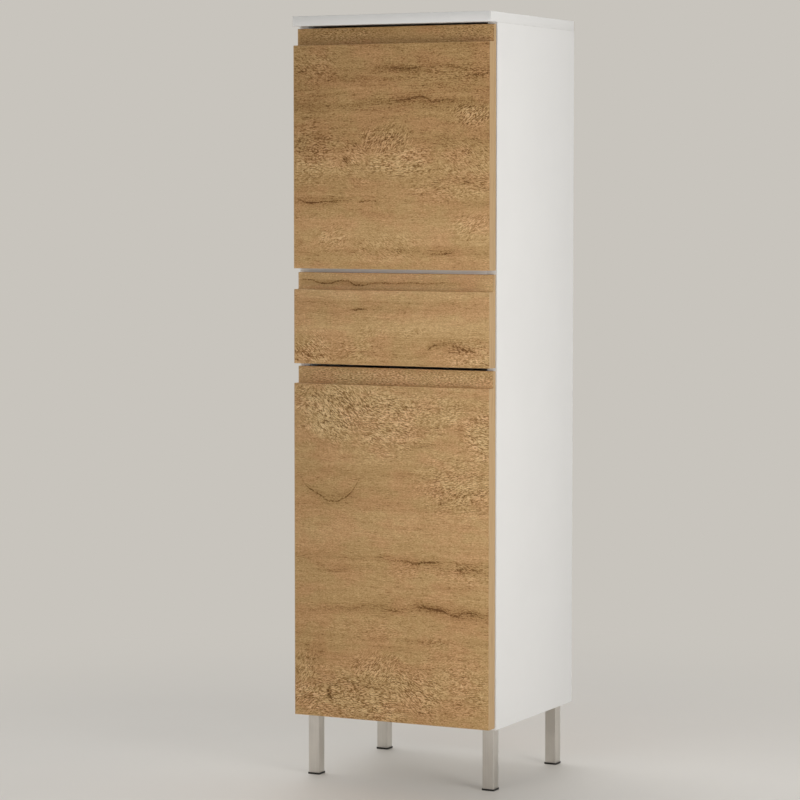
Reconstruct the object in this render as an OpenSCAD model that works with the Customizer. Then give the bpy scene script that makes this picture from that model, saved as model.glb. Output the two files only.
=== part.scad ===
// Tall bathroom cabinet on four square legs: two hinged doors with a drawer between them.
// Origin at the centre of its footprint on the floor, front towards -Y, +Z up, millimetres.

/* [Cabinet] */
// Overall width of the cabinet
cabinet_w = 350; // [320:1:450]
// Overall depth, from the top panel's front edge to the back edge of the sides
cabinet_d = 332; // [325:1:400]
// Overall height, legs included
cabinet_h = 1235; // [1180:1:1500]
// Height of the legs, foot caps included
leg_h = 100; // [70:1:160]

/* [Boards] */
// Thickness of the carcass boards
board_t = 16; // [15:0.5:19]
// Thickness of the back panel
back_t = 3; // [2.5:0.5:4]
// Distance from the back edge of the sides to the back panel
back_inset = 10; // [8:1:16]
// Depth of the groove that holds the back panel
groove_d = 6; // [4:0.5:8]
// How far the adjustable shelves stay behind the front edge of the sides
shelf_setback = 24; // [15:1:60]

/* [Fronts] */
// Thickness of the door and drawer fronts
front_t = 22; // [20:0.5:25]
// Gap between the back of the fronts and the carcass, filled by the bumpers
front_gap = 2; // [1.8:0.1:3]
// How far the top panel reaches past the face of the fronts
top_lip = 1; // [0.5:0.5:8]
// How far the fronts stay inside the cabinet's side faces
front_side_gap = 1; // [0.5:0.25:1.5]
// Height of the upper door
upper_door_h = 385; // [330:1:440]
// Height of the drawer front
drawer_front_h = 147; // [140:1:200]
// Gap between the top panel and the upper door
top_gap = 3.5; // [2:0.5:6]
// Gap between the upper door and the drawer front
shelf_gap = 6.5; // [3:0.5:10]
// Gap between the drawer front and the lower door
drawer_gap = 5; // [3:0.5:8]
// Gap between the lower door and the carcass underside
bottom_gap = 3.5; // [0:0.5:8]
// Height of the finger grip along the top of each front
grip_h = 27; // [22:1:32]
// Depth of the finger grip, taken from the face
grip_d = 15; // [10:0.5:16]
// Radius of the rounded edges of the grip
grip_r = 1.5; // [0.5:0.25:3]

/* [Legs] */
// Side of the square leg tube
tube_s = 20; // [18:1:30]
// Wall of the leg tube
tube_wall = 1.5; // [1:0.25:2.5]
// Outer radius of the leg tube's corners
tube_r = 2; // [1.75:0.25:4]
// Distance from the cabinet's side to the leg
leg_side_inset = 8; // [2:1:20]
// Distance from the front edge of the sides to the front legs
leg_front_inset = 9; // [2:1:30]
// Distance from the back edge of the sides to the back legs
leg_back_inset = 28; // [10:1:50]
// Side of the mounting plate welded on the leg
leg_plate_s = 46; // [40:1:60]
// Thickness of the mounting plate
leg_plate_t = 2; // [1.5:0.5:4]
// Visible height of the foot cap
cap_h = 2.7; // [2:0.1:6]
// How far the foot cap stands out past the tube on each side
cap_lip = 1.1; // [0.5:0.1:2]
// Length of the plug inside the tube
cap_plug = 14; // [8:1:25]

/* [Hinges] */
// Distance from the end of a door to the middle of its hinge
hinge_end = 90; // [75:1:120]
// Distance from the door's edge to the rim of the hinge cup
cup_tab = 4; // [4:0.5:6]
// Diameter of the cup bore in the door
cup_bore = 35; // [35:0.5:40]
// Depth of the cup
cup_depth = 12.4; // [12.4:0.1:14]
// Wall of the cup
cup_wall = 0.9; // [0.8:0.1:1]
// Thickness of the cup flange on the door's back
flange_t = 1; // [0.8:0.1:1.2]
// Thickness of the curved hinge link
link_t = 2; // [1.8:0.1:2]
// Half the width of the curved hinge link
link_half = 6.2; // [5:0.1:6.2]
// Diameter of the hinge pins
hinge_pin_d = 3; // [2:0.1:3]
// Length of the hinge arm behind the front edge of the sides
arm_len = 62; // [56:1:75]
// Sheet thickness of the hinge arm
arm_t = 1.4; // [1:0.1:1.6]

/* [Drawer] */
// Thickness of the drawer sides and back
drawer_t = 12; // [12:0.5:15]
// Height of the drawer sides
drawer_side_h = 95; // [80:1:100]
// Outside depth of the drawer box, behind its front
drawer_box_d = 260; // [245:1:262]
// Thickness of the drawer bottom
drawer_bottom_t = 3; // [2.5:0.5:4]
// Height of the drawer bottom above the lower edge of the sides
drawer_bottom_up = 10; // [9.5:0.5:14]
// How far the drawer box starts above the lower edge of its front
drawer_up = 22; // [15:1:26]

/* [Runners] */
// Space between the carcass side and the drawer side
runner_gap = 12.5; // [12.5:0.1:13]
// Length of the runner profiles
runner_len = 250; // [235:1:258]
// Sheet thickness of the runner profiles
runner_t = 1.2; // [1:0.1:1.4]
// Diameter of the runner rollers
roller_d = 13; // [12:0.5:14]
// Width of the runner rollers
roller_w = 8; // [6:0.5:8]
// Diameter of the roller axles
axle_d = 4; // [3:0.5:5]

/* [Fittings] */
// Pitch of the shelf pin holes
pin_pitch = 32; // [25:1:40]
// Diameter of the shelf pin holes
pin_d = 5; // [4:0.5:6]
// Distance from the front edge of the sides to the front row of holes
pin_front = 37; // [30:1:45]
// Number of holes in each row of the upper compartment
upper_rows = 5; // [3:2:7]
// Number of holes in each row of the lower compartment
lower_rows = 7; // [3:2:11]
// Diameter of the cam locks
cam_d = 15; // [12:0.5:15]
// Distance from the board's end to the middle of a cam lock
cam_reach = 34; // [24:1:40]
// Diameter of the wooden dowels
dowel_d = 8; // [6:1:8]
// Length of the wooden dowels
dowel_len = 30; // [24:1:35]
// Spacing of the two wall brackets
wall_spacing = 200; // [120:1:240]
// Diameter of the hole for the wall screw
wall_hole_d = 6; // [5:0.5:8]

/* [Hidden] */
$fn = 48;

// Colours as the object shows them
white = [0.90, 0.90, 0.88];
oak = [0.64, 0.49, 0.32];
steel = [0.72, 0.72, 0.70];
black = [0.13, 0.12, 0.11];
nylon = [0.93, 0.93, 0.90];
beech = [0.80, 0.66, 0.46];

// Clearances between a fastener and its hole, and between parts that slide in each other
fit = 0.05;
slip = 0.3;

// Outer faces of the cabinet
x_out = cabinet_w / 2;
x_in = x_out - board_t;
y_lip = -cabinet_d / 2;
y_back = cabinet_d / 2;
y_face = y_lip + top_lip;
y_front_back = y_face + front_t;
y_side = y_front_back + front_gap;
y_panel = y_back - back_inset - back_t;
z_top = cabinet_h;
z_under = leg_h;

// Heights of the fronts
z_ud1 = z_top - board_t - top_gap;
z_ud0 = z_ud1 - upper_door_h;
z_dr1 = z_ud0 - shelf_gap;
z_dr0 = z_dr1 - drawer_front_h;
z_ld1 = z_dr0 - drawer_gap;
z_ld0 = z_under + bottom_gap;
front_w = cabinet_w - 2 * front_side_gap;

// Fixed shelf behind the gap under the upper door
z_fix = z_ud0 - shelf_gap / 2 - board_t / 2;

// Hinge and shelf heights
upper_hinges = [z_ud0 + hinge_end, z_ud1 - hinge_end];
lower_hinges = [z_ld0 + hinge_end, z_ld1 - hinge_end];
upper_mid = (z_fix + board_t + z_top - board_t) / 2;
lower_mid = (z_under + board_t + z_dr0) / 2;
pin_hole_depth = 10;
pin_len = 8;
shelf_end_gap = 1;
pin_columns = [y_side + pin_front, y_panel - pin_front];

// Fittings
cam_h = min(12.5, board_t - 3);
bolt_screw_d = 5;
bolt_screw_len = 11;
bolt_shank_d = 6;
edge_rows = [y_side + 70, y_panel - 75];
dowel_rows = [y_side + 28, y_panel - 28];
dowel_deep = 10;

// Hinge geometry seen from above: u runs inwards from the cabinet's side face, v forwards from
// the front edge of the sides. The link swings on arm_pivot and carries the door on cup_pivot.
door_v = front_gap;
cup_r = cup_bore / 2 - 0.1;
cup_u = front_side_gap + cup_tab + cup_bore / 2;
arm_pivot = [24, door_v + 2];
cup_pivot = [10.5, door_v + 3];
link_bend = [[17.5, door_v + 10.2], [11.5, door_v + 10.2]];
pin_r = hinge_pin_d / 2;
link_bore_r = pin_r + fit;
eye_r = 2.4;
ear_r = 3;
ear_z = link_half + 0.4;
cup_pin_half = link_half + 4.8;
arm_top = 28.4;
arm_low = 19.5;
cheek_z = link_half + 0.3;
notch_z = ear_z + arm_t + 0.8;
cup_screw_u = cup_u + 9.5;
cup_screw_z = cup_r + 6.6;
cup_screw_r = 1.75;
cup_wing_r = 5;
plate_base = 2.2;
plate_v = -pin_front;
wing_z = 16;
arm_screw_v = -pin_front - 16;

// Leg positions
leg_x = x_out - leg_side_inset - tube_s / 2;
leg_y = [y_side + leg_front_inset + tube_s / 2, y_back - leg_back_inset - tube_s / 2];

// Drawer box and runners
box_x = x_in - runner_gap;
z_box = z_dr0 + drawer_up;
y_box1 = y_front_back + drawer_box_d;
roller_r = roller_d / 2;
track_top = z_box + runner_t;
rear_axle_z = track_top + slip + roller_r;
channel_h = roller_d + 2 * runner_t + 1.2;
front_axle_z = z_box + channel_h + 0.8 - roller_r;
rail_under = front_axle_z + roller_r + slip;
y_run0 = y_side + 3;
y_front_axle = y_run0 + 9;
y_rear_axle = y_run0 + runner_len - 12;
run_screws = [y_side + pin_front, y_side + pin_front + 160];
member_w = runner_gap - runner_t;
flange_w = member_w - 0.5;
// Inner radius of the leg tube's corners
bore_r = max(tube_r - tube_wall, 0.3);
// Cross recess of the screws, and the bevel at the ends of the dowels
recess_w = 0.8;
recess_d = 1.2;
dowel_bevel = 0.8;

// A round bar along X, Y or Z from its start point
module bar_x(p, r, l) {
    translate(p) rotate([0, 90, 0]) cylinder(r = r, h = l);
}
module bar_y(p, r, l) {
    translate(p) rotate([-90, 0, 0]) cylinder(r = r, h = l);
}
module bar_z(p, r, l) {
    translate(p) cylinder(r = r, h = l);
}
// A box given by its low and high corners
module block(a, b) {
    translate(a) cube(b - a);
}
// A square post with rounded corners, its middle at p
module post(p, half, r, h) {
    translate(p) {
        block([-half, r - half, 0], [half, half - r, h]);
        block([r - half, -half, 0], [half - r, half, h]);
        for (x = [-1, 1], y = [-1, 1]) translate([x * (half - r), y * (half - r), 0]) cylinder(r = r, h = h);
    }
}
// The same shape on the left and on the right
module both() {
    children();
    mirror([1, 0, 0]) children();
}
// A wood screw that points up: its flat head with a cross recess starts at the bottom
module screw(r, l, head_r, head_h) {
    difference() {
        union() {
            cylinder(r = head_r, h = head_h);
            cylinder(r = r, h = head_h + l - 1.5 * r);
            translate([0, 0, head_h + l - 1.5 * r]) cylinder(r1 = r, r2 = 0.3, h = 1.5 * r);
        }
        for (t = [0, 90]) rotate([0, 0, t])
            block([0.2 - r, -recess_w / 2, -1], [r - 0.2, recess_w / 2, min(head_h + 0.5, recess_d)]);
    }
}
module screw_up(p, r, l, head_r, head_h) {
    translate([p[0], p[1], p[2] - head_h]) screw(r, l, head_r, head_h);
}
// A dowel along Z with bevelled ends
module dowel(r, l) {
    cylinder(r1 = r - dowel_bevel, r2 = r, h = dowel_bevel);
    translate([0, 0, dowel_bevel]) cylinder(r = r, h = l - 2 * dowel_bevel);
    translate([0, 0, l - dowel_bevel]) cylinder(r1 = r, r2 = r - dowel_bevel, h = dowel_bevel);
}
// Straight strip between two points of an outline
module strip(a, b, t) {
    d = b - a;
    translate(a) rotate(atan2(d[1], d[0])) translate([0, -t / 2]) square([norm(d), t]);
}

// Carcass joints: places where a bolt from the side panel enters the end of a board
board_ends = [z_under + board_t / 2, z_fix + board_t / 2];

// Board that lies between the sides, with cam pockets in its underside
module inner_board(z, y1) {
    difference() {
        block([-x_in, y_side, z], [x_in, y1, z + board_t]);
        both() for (y = edge_rows) {
            bar_z([x_in - cam_reach, y, z - 1], cam_d / 2 + fit, cam_h + 1 + fit);
            bar_x([x_in - cam_reach, y, z + board_t / 2], bolt_shank_d / 2 + fit, cam_reach + 1);
        }
        both() for (y = dowel_rows)
            bar_x([x_in - dowel_len + dowel_deep, y, z + board_t / 2], dowel_d / 2 + fit, dowel_len);
    }
}

module top_panel() {
    color(white) difference() {
        block([-x_out, y_lip, z_top - board_t], [x_out, y_back, z_top]);
        block([-x_in - groove_d, y_panel - fit, z_top - board_t - 1],
              [x_in + groove_d, y_panel + back_t + fit, z_top - board_t + groove_d]);
        both() for (y = edge_rows)
            bar_z([x_out - board_t / 2, y, z_top - board_t - 1], bolt_screw_d / 2 + fit,
                  bolt_screw_len + 1 + fit);
        both() for (y = dowel_rows)
            bar_z([x_out - board_t / 2, y, z_top - board_t - 1], dowel_d / 2 + fit, dowel_deep + 1 + fit);
        both() bar_z([wall_spacing / 2, y_panel - 14, z_top - board_t - 1], 1.5 + fit, 11);
    }
}

module bottom_panel() {
    color(white) difference() {
        inner_board(z_under, y_back);
        block([-x_in - 1, y_panel - fit, z_under + board_t - groove_d],
              [x_in + 1, y_panel + back_t + fit, z_under + board_t + 1]);
        both() for (y = leg_y, s = leg_screw_spots(y)) bar_z([s[0], s[1], z_under - 1], 2 + fit, 11.5);
    }
}

module fixed_shelf() {
    color(white) inner_board(z_fix, y_panel - fit);
}

// Left side panel; the right one is its mirror image without the hinge holes
module side_board(hinged) {
    difference() {
        block([-x_out, y_side, z_under], [-x_in, y_back, z_top - board_t]);
        block([-x_in - groove_d, y_panel - fit, z_under - 1],
              [-x_in + 1, y_panel + back_t + fit, z_top - board_t + 1]);
        for (y = pin_columns, z = pin_rows())
            bar_x([-x_in - pin_hole_depth, y, z], pin_d / 2, pin_hole_depth + 1);
        for (y = edge_rows, z = board_ends)
            bar_x([-x_in - bolt_screw_len - fit, y, z], bolt_screw_d / 2 + fit, bolt_screw_len + 1);
        for (y = dowel_rows, z = board_ends)
            bar_x([-x_in - dowel_deep - fit, y, z], dowel_d / 2 + fit, dowel_deep + 1);
        for (y = edge_rows) {
            bar_x([-x_in - cam_h - fit, y, z_top - board_t - cam_reach], cam_d / 2 + fit, cam_h + 1);
            bar_z([-x_out + board_t / 2, y, z_top - board_t - cam_reach], bolt_shank_d / 2 + fit, cam_reach + 1);
        }
        for (y = dowel_rows)
            bar_z([-x_out + board_t / 2, y, z_top - board_t - dowel_len + dowel_deep], dowel_d / 2 + fit,
                  dowel_len);
        for (y = run_screws) bar_x([-x_in - 10, y, z_box + channel_h / 2], 1.5 + fit, 11);
        if (hinged) for (z = concat(upper_hinges, lower_hinges), s = [-1, 1])
            bar_x([-x_in - 11, y_side + pin_front, z + s * wing_z], 2.5 + fit, 12);
    }
}

module left_side_panel() {
    color(white) side_board(true);
}

module right_side_panel() {
    color(white) mirror([1, 0, 0]) side_board(false);
}

module back_panel() {
    e = groove_d - 0.5;
    color(white) difference() {
        block([-x_in - e, y_panel, z_under + board_t - e], [x_in + e, y_panel + back_t, z_top - board_t + e]);
        both() bar_y([wall_spacing / 2, y_panel - 1, wall_z], wall_hole_d / 2, back_t + 2);
    }
}

// Heights of the shelf pin holes: a short row round the middle of each compartment
function pin_rows() = concat(
    [for (i = [0 : upper_rows - 1]) upper_mid + (i - (upper_rows - 1) / 2) * pin_pitch],
    [for (i = [0 : lower_rows - 1]) lower_mid + (i - (lower_rows - 1) / 2) * pin_pitch]
);

module loose_shelf(z) {
    block([-x_in + shelf_end_gap, y_side + shelf_setback, z + pin_d / 2],
          [x_in - shelf_end_gap, y_panel - 3, z + pin_d / 2 + board_t]);
}

module upper_shelf() {
    color(white) loose_shelf(upper_mid);
}

module lower_shelf() {
    color(white) loose_shelf(lower_mid);
}

// Nylon pins: a peg in the side, a collar against it and a rest under the shelf
module shelf_pins() {
    color(nylon) both() for (y = pin_columns, z = [upper_mid, lower_mid]) {
        bar_x([x_in - pin_len, y, z], pin_d / 2 - fit, 2 * pin_len);
        bar_x([x_in - shelf_end_gap, y, z], pin_d / 2 + 1, shelf_end_gap - fit);
    }
}

module panel_dowels() {
    color(beech) both() {
        for (y = dowel_rows, z = board_ends)
            translate([x_in - dowel_len + dowel_deep + fit, y, z]) rotate([0, 90, 0])
                dowel(dowel_d / 2, dowel_len - fit);
        for (y = dowel_rows)
            translate([x_out - board_t / 2, y, z_top - board_t - dowel_len + dowel_deep + fit])
                dowel(dowel_d / 2, dowel_len - fit);
    }
}

// Cam lock: a drum with a cross slot in its face and a curved pocket for the bolt head
module cam_lock(r, h) {
    difference() {
        cylinder(r = r, h = h);
        translate([-r + 3, -0.8, -1]) cube([2 * r - 6, 1.6, 2.5]);
        translate([-0.8, -r + 3, -1]) cube([1.6, 2 * r - 6, 2.5]);
        translate([0, 0, board_t / 2]) rotate([0, 90, 0]) cylinder(r = bolt_shank_d / 2 + 0.3, h = r + 1);
    }
}

module cam_locks() {
    color(steel) both() {
        for (y = edge_rows, z = board_ends)
            translate([x_in - cam_reach, y, z - board_t / 2]) cam_lock(cam_d / 2, cam_h);
        for (y = edge_rows)
            translate([x_in, y, z_top - board_t - cam_reach]) rotate([0, 90, 0]) rotate([0, 0, 180])
                cam_lock(cam_d / 2, cam_h);
    }
}

// Cam bolt along +Z: screw end at the bottom, collar, shank and ball head
module cam_bolt(reach) {
    translate([0, 0, -bolt_screw_len]) cylinder(r = bolt_screw_d / 2, h = bolt_screw_len);
    cylinder(r = bolt_shank_d / 2 - 0.8, h = reach - 4);
    cylinder(r = bolt_shank_d / 2 - fit, h = 3);
    translate([0, 0, reach - 5]) cylinder(r = bolt_shank_d / 2 - 0.3, h = 4);
}

module cam_bolts() {
    color(steel) both() {
        for (y = edge_rows, z = board_ends) translate([x_in, y, z]) rotate([0, -90, 0]) cam_bolt(cam_reach);
        for (y = edge_rows)
            translate([x_out - board_t / 2, y, z_top - board_t]) rotate([180, 0, 0]) cam_bolt(cam_reach);
    }
}

// Screw spots of the leg plate at the right, clear of the tube and the side panel
function leg_screw_spots(y) =
    let (s = y < 0 ? 1 : -1, x1 = leg_x + tube_s / 2 - leg_plate_s, y1 = y - s * tube_s / 2)
    [[x1 + 8, y1 + s * 8], [x1 + 8, y1 + s * (leg_plate_s - 8)], [x1 + 22, y1 + s * (leg_plate_s - 8)]];

// Square tube leg with its welded plate, drawn at the right for the row at y
module leg(y) {
    s = y < 0 ? 1 : -1;
    x1 = leg_x + tube_s / 2;
    z1 = z_under - leg_plate_t;
    hole = tube_s / 2 - tube_wall;
    difference() {
        union() {
            post([leg_x, y, cap_h], tube_s / 2, tube_r, z1 + 0.5 - cap_h);
            block([x1 - leg_plate_s, min(y - s * tube_s / 2, y + s * (leg_plate_s - tube_s / 2)), z1],
                  [x1, max(y - s * tube_s / 2, y + s * (leg_plate_s - tube_s / 2)), z_under]);
        }
        post([leg_x, y, cap_h - 1], hole, bore_r, z1 - cap_h + 1);
        for (p = leg_screw_spots(y)) bar_z([p[0], p[1], z1 - 1], 2.2, leg_plate_t + 2);
    }
}

module leg_front_left() {
    color(steel) mirror([1, 0, 0]) leg(leg_y[0]);
}
module leg_front_right() {
    color(steel) leg(leg_y[0]);
}
module leg_back_left() {
    color(steel) mirror([1, 0, 0]) leg(leg_y[1]);
}
module leg_back_right() {
    color(steel) leg(leg_y[1]);
}

module leg_screws() {
    color(steel) both() for (y = leg_y, p = leg_screw_spots(y))
        screw_up([p[0], p[1], z_under - leg_plate_t], 2, leg_plate_t + 10, 3.8, 1.8);
}

// Foot cap: a thin sole a little wider than the tube, and a ribbed plug inside it
module foot(y) {
    h = tube_s / 2 + cap_lip;
    plug = tube_s / 2 - tube_wall - 0.8;
    rib = tube_s / 2 - tube_wall - fit;
    translate([leg_x, y, 0]) {
        post([0, 0, 0], h, tube_r + cap_lip, cap_h);
        difference() {
            post([0, 0, cap_h - 0.5], plug, bore_r + 0.5, cap_plug + 0.5);
            block([-plug + 1.5, -plug + 1.5, cap_h + 1], [plug - 1.5, plug - 1.5, cap_h + cap_plug + 1]);
        }
        for (z = [3 : 4 : cap_plug - 3]) difference() {
            post([0, 0, cap_h + z], rib, bore_r + 0.5, 1);
            block([-plug + 1, -plug + 1, cap_h + z - 1], [plug - 1, plug - 1, cap_h + z + 2]);
        }
    }
}

module foot_front_left() {
    color(black) mirror([1, 0, 0]) foot(leg_y[0]);
}
module foot_front_right() {
    color(black) foot(leg_y[0]);
}
module foot_back_left() {
    color(black) mirror([1, 0, 0]) foot(leg_y[1]);
}
module foot_back_right() {
    color(black) foot(leg_y[1]);
}

// Puts what is drawn in u, v and height at a hinge on the left side
module at_hinge(z) {
    translate([-x_out, y_side, z]) mirror([0, 1, 0]) children();
}

// Mounting plate: a winged base on the side panel with a ridge that carries the arm
module hinge_plate() {
    difference() {
        union() {
            block([board_t, plate_v - 8, -wing_z], [board_t + plate_base, plate_v + 8, wing_z]);
            for (s = [-1, 1]) bar_x([board_t, plate_v, s * wing_z], 8, plate_base);
            block([board_t, -arm_len + 6, -ear_z + slip], [arm_top - arm_t, plate_v + 14, ear_z - slip]);
        }
        for (s = [-1, 1]) bar_x([board_t - 1, plate_v, s * wing_z], 2.5 + fit, plate_base + 2);
        bar_x([board_t + plate_base, arm_screw_v, 0], 2.5 + fit, 20);
    }
}

module hinge_plates() {
    color(steel) for (z = concat(upper_hinges, lower_hinges)) at_hinge(z) hinge_plate();
}

module hinge_plate_screws() {
    color(steel) for (z = concat(upper_hinges, lower_hinges), s = [-1, 1]) at_hinge(z + s * wing_z) {
        bar_x([board_t - 10.5, plate_v, 0], 2.5, plate_base + 10.5);
        difference() {
            bar_x([board_t + plate_base, plate_v, 0], 4, 1.6);
            block([board_t + plate_base + 0.8, plate_v - 2.5, -0.5], [board_t + plate_base + 2, plate_v + 2.5, 0.5]);
            block([board_t + plate_base + 0.8, plate_v - 0.5, -2.5], [board_t + plate_base + 2, plate_v + 0.5, 2.5]);
        }
    }
}

// One cheek of the arm's channel, seen from above, ending in the eye of the pivot
module arm_cheek() {
    difference() {
        union() {
            polygon([[arm_low, -arm_len], [arm_top, -arm_len], [arm_top, -1.2],
                     [arm_pivot[0] + 2.6, arm_pivot[1]], [arm_pivot[0] - 3, arm_pivot[1]], [arm_low, -6]]);
            translate(arm_pivot) circle(r = ear_r);
        }
        translate(arm_pivot) circle(r = pin_r + fit);
    }
}

// Pressed channel arm, open towards the side panel, with a hole for its clamping screw
module hinge_arm() {
    for (s = [-1, 1]) translate([0, 0, s > 0 ? ear_z : -ear_z - arm_t]) linear_extrude(arm_t) arm_cheek();
    difference() {
        block([arm_top - arm_t, -arm_len, -ear_z - 0.2], [arm_top, -1.2, ear_z + 0.2]);
        bar_x([arm_top - arm_t - 1, arm_screw_v, 0], 2.5 + fit, arm_t + 2);
        bar_x([arm_top - arm_t - 1, plate_v + 16, 0], 3, arm_t + 2);
    }
}

module hinge_arms() {
    color(steel) for (z = concat(upper_hinges, lower_hinges)) at_hinge(z) hinge_arm();
}

module hinge_arm_pins() {
    color(steel) for (z = concat(upper_hinges, lower_hinges)) at_hinge(z)
        bar_z([arm_pivot[0], arm_pivot[1], -ear_z - arm_t], pin_r, 2 * (ear_z + arm_t));
}

module hinge_arm_screws() {
    color(steel) for (z = concat(upper_hinges, lower_hinges)) at_hinge(z) difference() {
        union() {
            bar_x([arm_top - arm_t - 6, arm_screw_v, 0], 2.5, arm_t + 6);
            bar_x([arm_top, arm_screw_v, 0], 4, 2);
        }
        block([arm_top + 1, arm_screw_v - 2.5, -0.5], [arm_top + 3, arm_screw_v + 2.5, 0.5]);
        block([arm_top + 1, arm_screw_v - 0.5, -2.5], [arm_top + 3, arm_screw_v + 0.5, 2.5]);
    }
}

// Curved link: from the arm's pin down into the cup and back up to the cup's pin
module hinge_link() {
    pts = [arm_pivot, link_bend[0], link_bend[1], cup_pivot];
    translate([0, 0, -link_half]) linear_extrude(2 * link_half) difference() {
        union() {
            for (i = [0 : 2]) strip(pts[i], pts[i + 1], link_t);
            for (i = [1, 2]) translate(pts[i]) circle(r = link_t / 2);
            for (i = [0, 3]) translate(pts[i]) circle(r = eye_r);
        }
        for (i = [0, 3]) translate(pts[i]) circle(r = link_bore_r);
    }
}

module upper_hinge_links() {
    color(steel) for (z = upper_hinges) at_hinge(z) hinge_link();
}
module lower_hinge_links() {
    color(steel) for (z = lower_hinges) at_hinge(z) hinge_link();
}

// Pressed cup with its winged flange, the notch for the link and the cheeks that hold the pin
module hinge_cup() {
    difference() {
        union() {
            bar_y([cup_u, door_v, 0], cup_r, cup_depth);
            bar_y([cup_u, door_v - flange_t, 0], cup_r + 2, flange_t);
            for (s = [-1, 1]) bar_y([cup_screw_u, door_v - flange_t, s * cup_screw_z], cup_wing_r, flange_t);
            block([cup_screw_u - cup_wing_r, door_v - flange_t, -cup_screw_z],
                  [cup_screw_u + cup_wing_r, door_v, cup_screw_z]);
        }
        difference() {
            bar_y([cup_u, door_v - flange_t - 1, 0], cup_r - cup_wall, cup_depth + flange_t + 1 - cup_wall);
            for (s = [-1, 1]) block([0, door_v, min(s * cheek_z, s * cup_bore)],
                                    [cup_pivot[0] + 4, door_v + cup_depth, max(s * cheek_z, s * cup_bore)]);
        }
        block([0, door_v - flange_t - 1, -notch_z], [cup_pivot[0] - 0.5, door_v, notch_z]);
        for (s = [-1, 1]) bar_y([cup_screw_u, door_v - 5, s * cup_screw_z], cup_screw_r + fit, 10);
        bar_z([cup_pivot[0], cup_pivot[1], -cup_pin_half - 0.5], pin_r + fit, 2 * cup_pin_half + 1);
    }
}

module upper_hinge_cups() {
    color(steel) for (z = upper_hinges) at_hinge(z) hinge_cup();
}
module lower_hinge_cups() {
    color(steel) for (z = lower_hinges) at_hinge(z) hinge_cup();
}

module cup_pin() {
    bar_z([cup_pivot[0], cup_pivot[1], -cup_pin_half], pin_r, 2 * cup_pin_half);
}
module upper_cup_pins() {
    color(steel) for (z = upper_hinges) at_hinge(z) cup_pin();
}
module lower_cup_pins() {
    color(steel) for (z = lower_hinges) at_hinge(z) cup_pin();
}

module cup_screws() {
    for (s = [-1, 1]) {
        translate([cup_screw_u, door_v - flange_t - 0.7, s * cup_screw_z]) rotate([-90, 0, 0])
            screw(cup_screw_r, 13, 3.4, 0.7);
    }
}
module upper_cup_screws() {
    color(steel) for (z = upper_hinges) at_hinge(z) cup_screws();
}
module lower_cup_screws() {
    color(steel) for (z = lower_hinges) at_hinge(z) cup_screws();
}

// Outline of a front seen from the side: full thickness, with the finger grip along its top
module front_outline(h) {
    difference() {
        square([front_t, h]);
        translate([-1, h - grip_h + grip_r]) square([grip_d + 1, grip_h]);
        translate([-1, h - grip_h]) square([grip_d + 1 - grip_r, grip_r + 1]);
        translate([grip_d - grip_r, h - grip_h + grip_r]) circle(r = grip_r);
        difference() {
            translate([-1, h - grip_h - grip_r]) square([1 + grip_r, grip_r + 1]);
            translate([grip_r, h - grip_h - grip_r]) circle(r = grip_r);
        }
    }
}

// Oak front from z0 up, its grip cut along the whole width
module front(z0, h) {
    translate([-front_w / 2, y_face, z0]) rotate([90, 0, 90]) linear_extrude(front_w) front_outline(h);
}

module hinged_front(z0, h, hinges) {
    difference() {
        front(z0, h);
        for (z = hinges) at_hinge(z) {
            bar_y([cup_u, door_v - 1, 0], cup_bore / 2, cup_depth + 1.2);
            for (s = [-1, 1]) bar_y([cup_screw_u, door_v - 1, s * cup_screw_z], cup_screw_r + fit, 13.2);
        }
    }
}

module upper_door() {
    color(oak) hinged_front(z_ud0, z_ud1 - z_ud0, upper_hinges);
}
module lower_door() {
    color(oak) hinged_front(z_ld0, z_ld1 - z_ld0, lower_hinges);
}

// Soft round bumpers on the back of a front, over the edge of the side panel
module bumpers(zs, sides) {
    for (z = zs, s = sides) bar_y([s * (x_out - board_t / 2), y_front_back, z], 4, front_gap - slip);
}
module upper_door_bumpers() {
    color(nylon) bumpers([z_ud0 + 15, z_ud1 - 15], [1]);
}
module lower_door_bumpers() {
    color(nylon) bumpers([z_ld0 + 15, z_ld1 - 15], [1]);
}
module drawer_bumpers() {
    color(nylon) bumpers([z_dr0 + 15, z_dr1 - 15], [-1, 1]);
}

// Drawer: joints along the front and back edges of its sides
drawer_cam_h = drawer_t - 2.5;
drawer_cam_r = 6;
drawer_cam_reach = 24;
drawer_cam_z = z_box + drawer_side_h / 2;
drawer_dowel_z = [z_box + 28, z_box + drawer_side_h - 16];
drawer_dowel_r = 3;
drawer_dowel_len = 25;

module drawer_front() {
    color(oak) difference() {
        front(z_dr0, drawer_front_h);
        both() {
            bar_y([box_x - drawer_t / 2, y_front_back - bolt_screw_len - fit, drawer_cam_z],
                  bolt_screw_d / 2 + fit, bolt_screw_len + 1);
            for (z = drawer_dowel_z)
                bar_y([box_x - drawer_t / 2, y_front_back - 10 - fit, z], drawer_dowel_r + fit, 11);
        }
    }
}

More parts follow.
